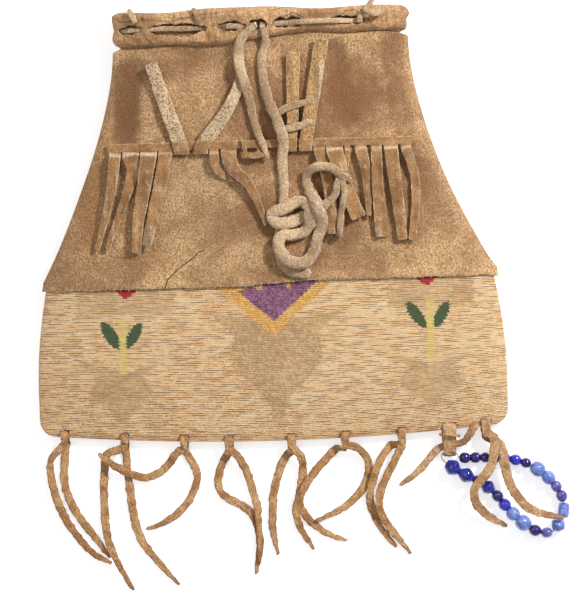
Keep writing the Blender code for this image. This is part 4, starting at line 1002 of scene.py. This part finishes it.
# Round the mouth: place across as a share and distance off the hide
LACE_FRONT_LEFT = [
    (-1.0, INSIDE), (-0.985, INSIDE), (-0.93, 2.8), (-0.86, INSIDE), (-0.78, INSIDE), (-0.7, 2.9),
    (-0.6, 3.4), (-0.5, 2.9), (-0.4, INSIDE), (-0.32, INSIDE), (-0.27, 3.0), (-0.235, 5.6), (-0.2, OUTSIDE),
    (-0.165, 5.6), (-0.13, 3.0), (-0.08, INSIDE), (-0.045, 3.2)]
LACE_FRONT_RIGHT = [
    (0.015, 3.2), (0.06, INSIDE), (0.1, INSIDE + 0.2), (0.15, 3.2), (0.2, 4.4), (0.255, 6.8),
    (0.3, OUTSIDE), (0.36, OUTSIDE), (0.42, OUTSIDE), (0.48, OUTSIDE), (0.53, 6.8), (0.59, 4.4),
    (0.66, 3.2), (0.72, INSIDE), (0.84, INSIDE), (0.93, INSIDE), (0.985, INSIDE), (1.0, INSIDE)]
LACE_BACK = [(share, INSIDE) for share in (0.96, 0.75, 0.5, 0.25, 0, -0.25, -0.5, -0.75, -0.96)]
# Tails and knot: steps across and along the bag from a first point, and width
LEFT_TAIL = [
    (-4, -3.5, 3.8), (-9.5, -9, 5), (-12, -19, 5.6), (-10.5, -30, 5.4), (-7.5, -40, 5), (-5, -50, 4.6),
    (-3.5, -60, 4.4), (-0.5, -70, 4), (3, -79, 3.2), (5.5, -87, 2.2)]
RIGHT_TAIL = [
    (2, -9, 3.8), (-0.5, -17, 4.6), (-1, -28, 5), (1, -40.5, 5.2), (4, -51, 5.2), (8, -61, 5.4),
    (11.5, -73, 5.6), (10.5, -85.5, 5.4), (11, -97.5, 5.2), (11, -107.5, 5), (10, -118, 5), (8, -130, 5),
    (7.5, -140.5, 5.2), (8, -149.5, 5.6), (12, -156, 5.8), (19, -159, 6), (27.5, -159.5, 5.8)]
KNOT_ROUTE = [
    (31.5, -1, 2.6), (31.5, 5.5, 3.4), (32.5, 14, 3.6), (34, 22, 3.6), (35, 28.5, 3.6), (33.5, 34.5, 3.6),
    (31.5, 36, 3.6), (30, 33, 3.8), (29.5, 28, 4.2), (26, 23, 4.6), (20.5, 19, 5.9), (14.5, 15.5, 6.6),
    (8.5, 13, 7), (2, 10.5, 7), (-5.5, 9, 7), (-11, 10.5, 6.8), (-12.5, 14.5, 6.6), (-9, 17.5, 6.6),
    (-4, 18.5, 6.8), (2, 22, 6.8), (7.5, 23, 7), (11.5, 20, 7), (12.5, 14.5, 7), (12, 8.5, 6.8),
    (9, 4, 6.6), (1.5, 1.5, 6.8), (-5, 1.5, 6.8), (-8.5, -3.5, 6.8), (-6.5, -10.5, 7), (-1, -15.5, 7),
    (6, -17, 7), (11.5, -14, 7), (15, -8, 6.8), (16.5, -1.5, 6.6), (19, 4.5, 6.6), (20, 11, 6.6),
    (18, 17.5, 6.6), (15.5, 24, 6.4), (12, 31.5, 5.6), (11, 38, 5.4), (14, 43.5, 5.2), (20, 45, 5.2),
    (26.5, 44, 5), (32, 40, 4.6), (37, 37, 4), (40.5, 35, 2.8)]
# The knot's middle from the lace's exit and the mouth, and its swell beside the route's widths
KNOT_ASIDE = 14.5
KNOT_DROP = 143.0
KNOT_SWELL = 1.14

# Laces in section: their swell beside the routes' widths, thickness as a share of width, squareness
LACE_SWELL = 1.25
LACE_FLAT = 0.62
KNOT_FLAT = 0.68
STITCH_FLAT = 0.8
SQUARENESS = 0.8
# Laces along their length: spacing of the points, rows to a point, and points that round off an end
ROUTE_STEP = 1.5
ROWS_A_POINT = 1.5
ROUND_END = 1.5
ABOVE_ALL = 400

# Where the sinew starts and stops, and the fringe's band, from which its strands are cut
STITCHES_FROM = -134.0
STITCHES_TO = 130.0
BAND_FOOT = 138
BAND_TOP = 147


def smooth_route(points):
    """Points at about equal spacing along a smooth curve; the fourth number is the thickness."""
    points = [Vector(p) for p in points]
    ends = [points[0] * 2 - points[1]] + points + [points[-1] * 2 - points[-2]]
    fine = []
    for a, b, c, d in zip(ends, ends[1:], ends[2:], ends[3:]):
        for k in range(16):
            t = k / 16
            fine.append((b * 2 + (c - a) * t + (a * 2 - b * 5 + c * 4 - d) * t ** 2
                         + (b * 3 - a - c * 3 + d) * t ** 3) / 2)
    fine.append(points[-1])
    runs = [0.0]
    for p, q in zip(fine, fine[1:]):
        runs.append(runs[-1] + (q.xyz - p.xyz).length)
    count = max(2, round(runs[-1] / ROUTE_STEP) + 1)
    result = []
    at = 0
    for k in range(count):
        want = runs[-1] * k / (count - 1)
        while at < len(runs) - 2 and runs[at + 1] < want:
            at += 1
        share = (want - runs[at]) / max(1e-9, runs[at + 1] - runs[at])
        result.append(fine[at].lerp(fine[at + 1], share))
    return result


class Below:
    """What a lace is laid over: pieces, and laces laid before it."""

    def __init__(self, things):
        self.trees = []
        for thing in things:
            self.add(thing)

    def add(self, thing):
        bpy.context.view_layer.update()
        self.trees.append(BVHTree.FromObject(thing, bpy.context.evaluated_depsgraph_get()))

    def top(self, x, y, reach):
        """The highest point within reach of a place."""
        best = 0.0
        for k in range(9):
            angle = 2 * pi * k / 8
            far = reach if k < 8 else 0.0
            start = Vector((x + far * cos(angle), y + far * sin(angle), ABOVE_ALL)) * MM
            for tree in self.trees:
                hit = tree.ray_cast(start, Vector((0, 0, -1)))[0]
                if hit:
                    best = max(best, hit.z / MM)
        return best


def ease(levels, fine, slope):
    """Raises levels so that no stretch of the route is steeper than the slope."""
    for order in (range(1, len(levels)), range(len(levels) - 2, -1, -1)):
        for i in order:
            near = i - 1 if order.step == 1 else i + 1
            run = (fine[i].xy - fine[near].xy).length
            levels[i] = max(levels[i], levels[near] - slope * run)


def laid(below, route, slope, flat, own=False):
    """Rests a route of x, y, least height and thickness on what is below it, and on its own turns."""
    fine = smooth_route(route)
    levels = []
    for point in fine:
        rest = below.top(point.x, point.y, point.w * 0.4) + LAID_GAP + flat * point.w / 2
        levels.append(max(point.z, rest))
    ease(levels, fine, slope)
    for _ in range(4 if own else 0):
        for i, point in enumerate(fine):
            for k in range(i):
                reach = (point.w + fine[k].w) / 2 * (0.5 + flat / 2)
                aside = (point.xy - fine[k].xy).length
                if aside < reach and (i - k) * ROUTE_STEP > 1.6 * reach:
                    rise = sqrt(reach ** 2 - aside ** 2) * flat
                    levels[i] = max(levels[i], levels[k] + rise)
        ease(levels, fine, slope)
    for _ in range(3):
        levels = [(levels[max(0, i - 1)] + 2 * level + levels[min(len(levels) - 1, i + 1)]) / 4
                  for i, level in enumerate(levels)]
    return [Vector((*point.xy, level, point.w)) for point, level in zip(fine, levels)]


def tube(points, flat, sides=14, lumps=0.0):
    """A lace along points: wider than thick, since flat is under 1, with its ends rounded off."""
    last = len(points) - 1
    frames = []
    for i, point in enumerate(points):
        along = (points[min(i + 1, last)].xyz - points[max(i - 1, 0)].xyz).normalized()
        side = Vector((along.y, -along.x, 0))
        side = side.normalized() if side.length > 0.2 else frames[-1][0]
        if frames and side.dot(frames[-1][0]) < 0:
            side = -side
        frames.append((side, side.cross(along)))

    def place(a, b):
        at = b * last
        k = min(int(at), last - 1)
        point = points[k].lerp(points[k + 1], at - k)
        side = frames[k][0].lerp(frames[k + 1][0], at - k)
        up = frames[k][1].lerp(frames[k + 1][1], at - k)
        angle = 2 * pi * a
        wide = copysign(abs(cos(angle)) ** SQUARENESS, cos(angle))
        tall = copysign(abs(sin(angle)) ** SQUARENESS, sin(angle))
        end = min(1.0, b * last / ROUND_END, (1 - b) * last / ROUND_END) ** 0.5
        lump = rough(at * ROUTE_STEP + 6 * cos(angle), 6 * sin(angle), 4, point.w)
        reach = point.w / 2 * end * (1 + lumps * lump)
        return point.xyz + side * wide * reach + up * tall * reach * flat

    return wrapped(sides, int(last * ROWS_A_POINT), place)


def drawstring(below):
    """One lace round the mouth in its casing, with both ends hanging in front."""
    def ring_part(places, front):
        return [Vector((*mouth_point(u, front, lace_height(u), out), LACE_THICKNESS))
                for u, out in reversed(places)]

    def tail(exit_at, offsets):
        route = [exit_at] + [Vector((exit_at.x + dx, exit_at.y + dy, 0, wide)) for dx, dy, wide in offsets]
        return laid(below, route, 0.6, LACE_FLAT)

    narrow = LACE_THICKNESS * 1.05
    ring = ring_part(LACE_FRONT_LEFT, True) + ring_part(LACE_BACK, False) + ring_part(LACE_FRONT_RIGHT, True)
    left = tail(Vector((*mouth_point(-0.025, True, lace_height(-0.025), OUTSIDE), narrow)), LEFT_TAIL)
    right = tail(Vector((*mouth_point(0.015, True, lace_height(0) - 1.5, OUTSIDE), narrow)), RIGHT_TAIL)
    points = list(reversed(left)) + smooth_route(ring) + right
    for point in points:
        point.w *= LACE_SWELL
    thing = tube(points, LACE_FLAT, lumps=0.12)
    below.add(thing)
    finished(thing, "buckskin_drawstring", "lace", "drawstring")


def knot_thong(below):
    exit_at = mouth_point(0.02, True, lace_height(0), OUTSIDE)
    middle = Vector((exit_at.x + KNOT_ASIDE, MOUTH_TOP - KNOT_DROP))
    route = [Vector((middle.x + dx, middle.y + dy, 0, wide * KNOT_SWELL)) for dx, dy, wide in KNOT_ROUTE]
    points = laid(below, route, 0.75, KNOT_FLAT, own=True)
    thing = tube(points, KNOT_FLAT, lumps=0.16)
    finished(thing, "buckskin_knot", "lace", "knot_thong")


def hem_stitches(below):
    """Sinew whipped over the upper's lower edge."""
    made = []
    x = STITCHES_FROM
    while x < STITCHES_TO:
        y = HIDE_BOTTOM + edge_rise(x, HIDE_BOTTOM) + edge_waver(x)
        reach = 1.4 + 1.2 * abs(rough(x, 0, 7, 31.0))
        lean = 1.2 + 1.4 * rough(x, 0, 9, 33.0)
        run = [Vector((x, y - 1.3, 0, 0.6)), Vector((x + lean / 2, y + 0.5, 0, 0.85)),
               Vector((x + lean, y + reach, 0, 0.55))]
        made.append(tube(laid(below, run, 0.9, STITCH_FLAT), STITCH_FLAT, sides=6))
        x += 3.6 + 4.5 * abs(rough(x, 0, 5, 35.0))
    return finished(joined(made), "hem_stitches", "sinew")


def strand_lift(x, y):
    """Strands of the fringe stand off the hide and tilt; the band they are cut from lies flat."""
    free = smooth_step(max(BAND_FOOT - y, y - BAND_TOP) / 14)
    return free * (1.3 + 2.4 * rough(x, y * 0.12, 10, 17.0) + 0.5 * rough(x, y, 14, 18.0))


# The bead string's ends in the hanger's fold, in millimetres
STRING_IN = [(113.1, -62.2, 3.7), (108.5, -62.3, 3.7), (108.3, -66.6, 4.5)]
STRING_OUT = [(119.4, -65.6, 4.0), (119.2, -62.9, 3.7), (114.9, -62.2, 3.7)]


def bead_thread():
    thing = dressed("bead_string", "bead_thread", "sinew", 0, 0.05, levels=1)
    path = [Vector(p) * MM for p in STRING_IN]
    for name in BEADS:
        spots = [point.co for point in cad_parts[name].data.vertices]
        path.append(sum(spots, Vector()) / len(spots))
    path += [Vector(p) * MM for p in STRING_OUT]


def beads():
    """Glass for each bead: big ones keep their edges, and round ones swell."""
    for name, kind, colour in zip(BEADS, BEAD_KINDS, BEAD_COLOURS):
        crease = {"b": 0.75, "T": 0.35, "c": 0.6, "r": 0.0}[kind]
        dressed(name, name + "_glass", colour, crease, 0.08, swell=0.15 if kind == "b" else 0.4)


# Stage, light and camera

def floor_finish():
    """Pale paper that looks brighter than the lamps make it, without lighting the bag."""
    finish = Finish("pale_floor")
    finish.shader.inputs["Base Color"].default_value = (FLOOR_PALENESS, FLOOR_PALENESS, FLOOR_PALENESS, 1)
    finish.shader.inputs["Roughness"].default_value = 0.9
    rays = finish.node("ShaderNodeLightPath", {}, {})
    seen = any_of([rays[name] for name in ("Is Camera Ray", "Is Glossy Ray", "Is Transmission Ray")])
    glow = finish.node("ShaderNodeEmission", {}, {"Strength": seen * FLOOR_GLOW})["Emission"]
    paper = Value(finish, finish.shader.outputs[0])
    both = finish.node("ShaderNodeAddShader", {}, {0: paper, 1: glow})["Shader"]
    finish.tree.links.new(both.socket, finish.tree.nodes["Material Output"].inputs["Surface"])
    return finish.material


def sheet_of_floor():
    bpy.ops.mesh.primitive_plane_add(size=FLOOR_SIZE)
    floor = bpy.context.active_object
    floor.name = "floor"
    floor.location.z = FLOOR_LEVEL
    floor.data.materials.append(floor_finish())


def lamp(name, place, size, power):
    data = bpy.data.lights.new(name, "AREA")
    data.energy = power
    data.size = size
    thing = bpy.data.objects.new(name, data)
    thing.location = place
    thing.rotation_euler = (-Vector(place)).to_track_quat("-Z", "Y").to_euler()
    bpy.context.scene.collection.objects.link(thing)


def light_and_camera():
    scene = bpy.context.scene
    scene.view_settings.view_transform = "Standard"
    world = bpy.data.worlds.new("soft_daylight")
    world.use_nodes = True
    sky = world.node_tree.nodes["Background"]
    sky.inputs["Color"].default_value = (1, 1, 1, 1)
    sky.inputs["Strength"].default_value = DAYLIGHT
    scene.world = world
    lamp("key_light", *KEY_LIGHT)
    lamp("fill_light", *FILL_LIGHT)
    data = bpy.data.cameras.new("camera")
    data.sensor_width = SENSOR_WIDTH
    data.lens = SENSOR_WIDTH * VIEW_DISTANCE / VIEW_HEIGHT
    camera = bpy.data.objects.new("camera", data)
    camera.location = (VIEW_MIDDLE[0] * MM, VIEW_MIDDLE[1] * MM, (VIEW_DISTANCE + VIEW_LEVEL) * MM)
    camera.rotation_euler = (0, 0, radians(VIEW_TURN))
    scene.collection.objects.link(camera)
    scene.camera = camera


def build():
    light_and_camera()
    sheet_of_floor()
    pocket = husk_pocket()
    hide = hide_upper()
    casing = mouth_casing()
    fringe = dressed("upper_fringe", "slit_fringe", "fringe", 0.5, 0.3, lift=strand_lift,
                     sides=1.0)
    tie = dressed("tail_tie", "buckskin_tail_tie", "lace", 0.3, 0.3, levels=2, sides=0.7)
    below = Below([pocket, hide, casing, fringe, tie])
    drawstring(below)
    knot_thong(below)
    hem_stitches(below)
    for node in ("left_lace_tip", "rim_tie", "edge_knot_under", "edge_knot_over"):
        dressed(node, "buckskin_" + node, "lace", 0.25, 0.25, size=2.5)
    for number in range(1, 9):
        node = "thong_%d" % number
        finish, swell = ("thong", -0.2) if number < 8 else ("thong_pale", -0.5)
        dressed(node, "buckskin_" + node, finish, 0.35, 0.6, size=3, swell=swell, sides=0.8)
    for node in ("bead_hanger", "hanger_thong", "hanger_tie"):
        dressed(node, "buckskin_" + node, "thong_pale", 0.3, 0.5, size=3, sides=0.4)
    beads()
    bead_thread()


FINISHES = make_finishes()
build()
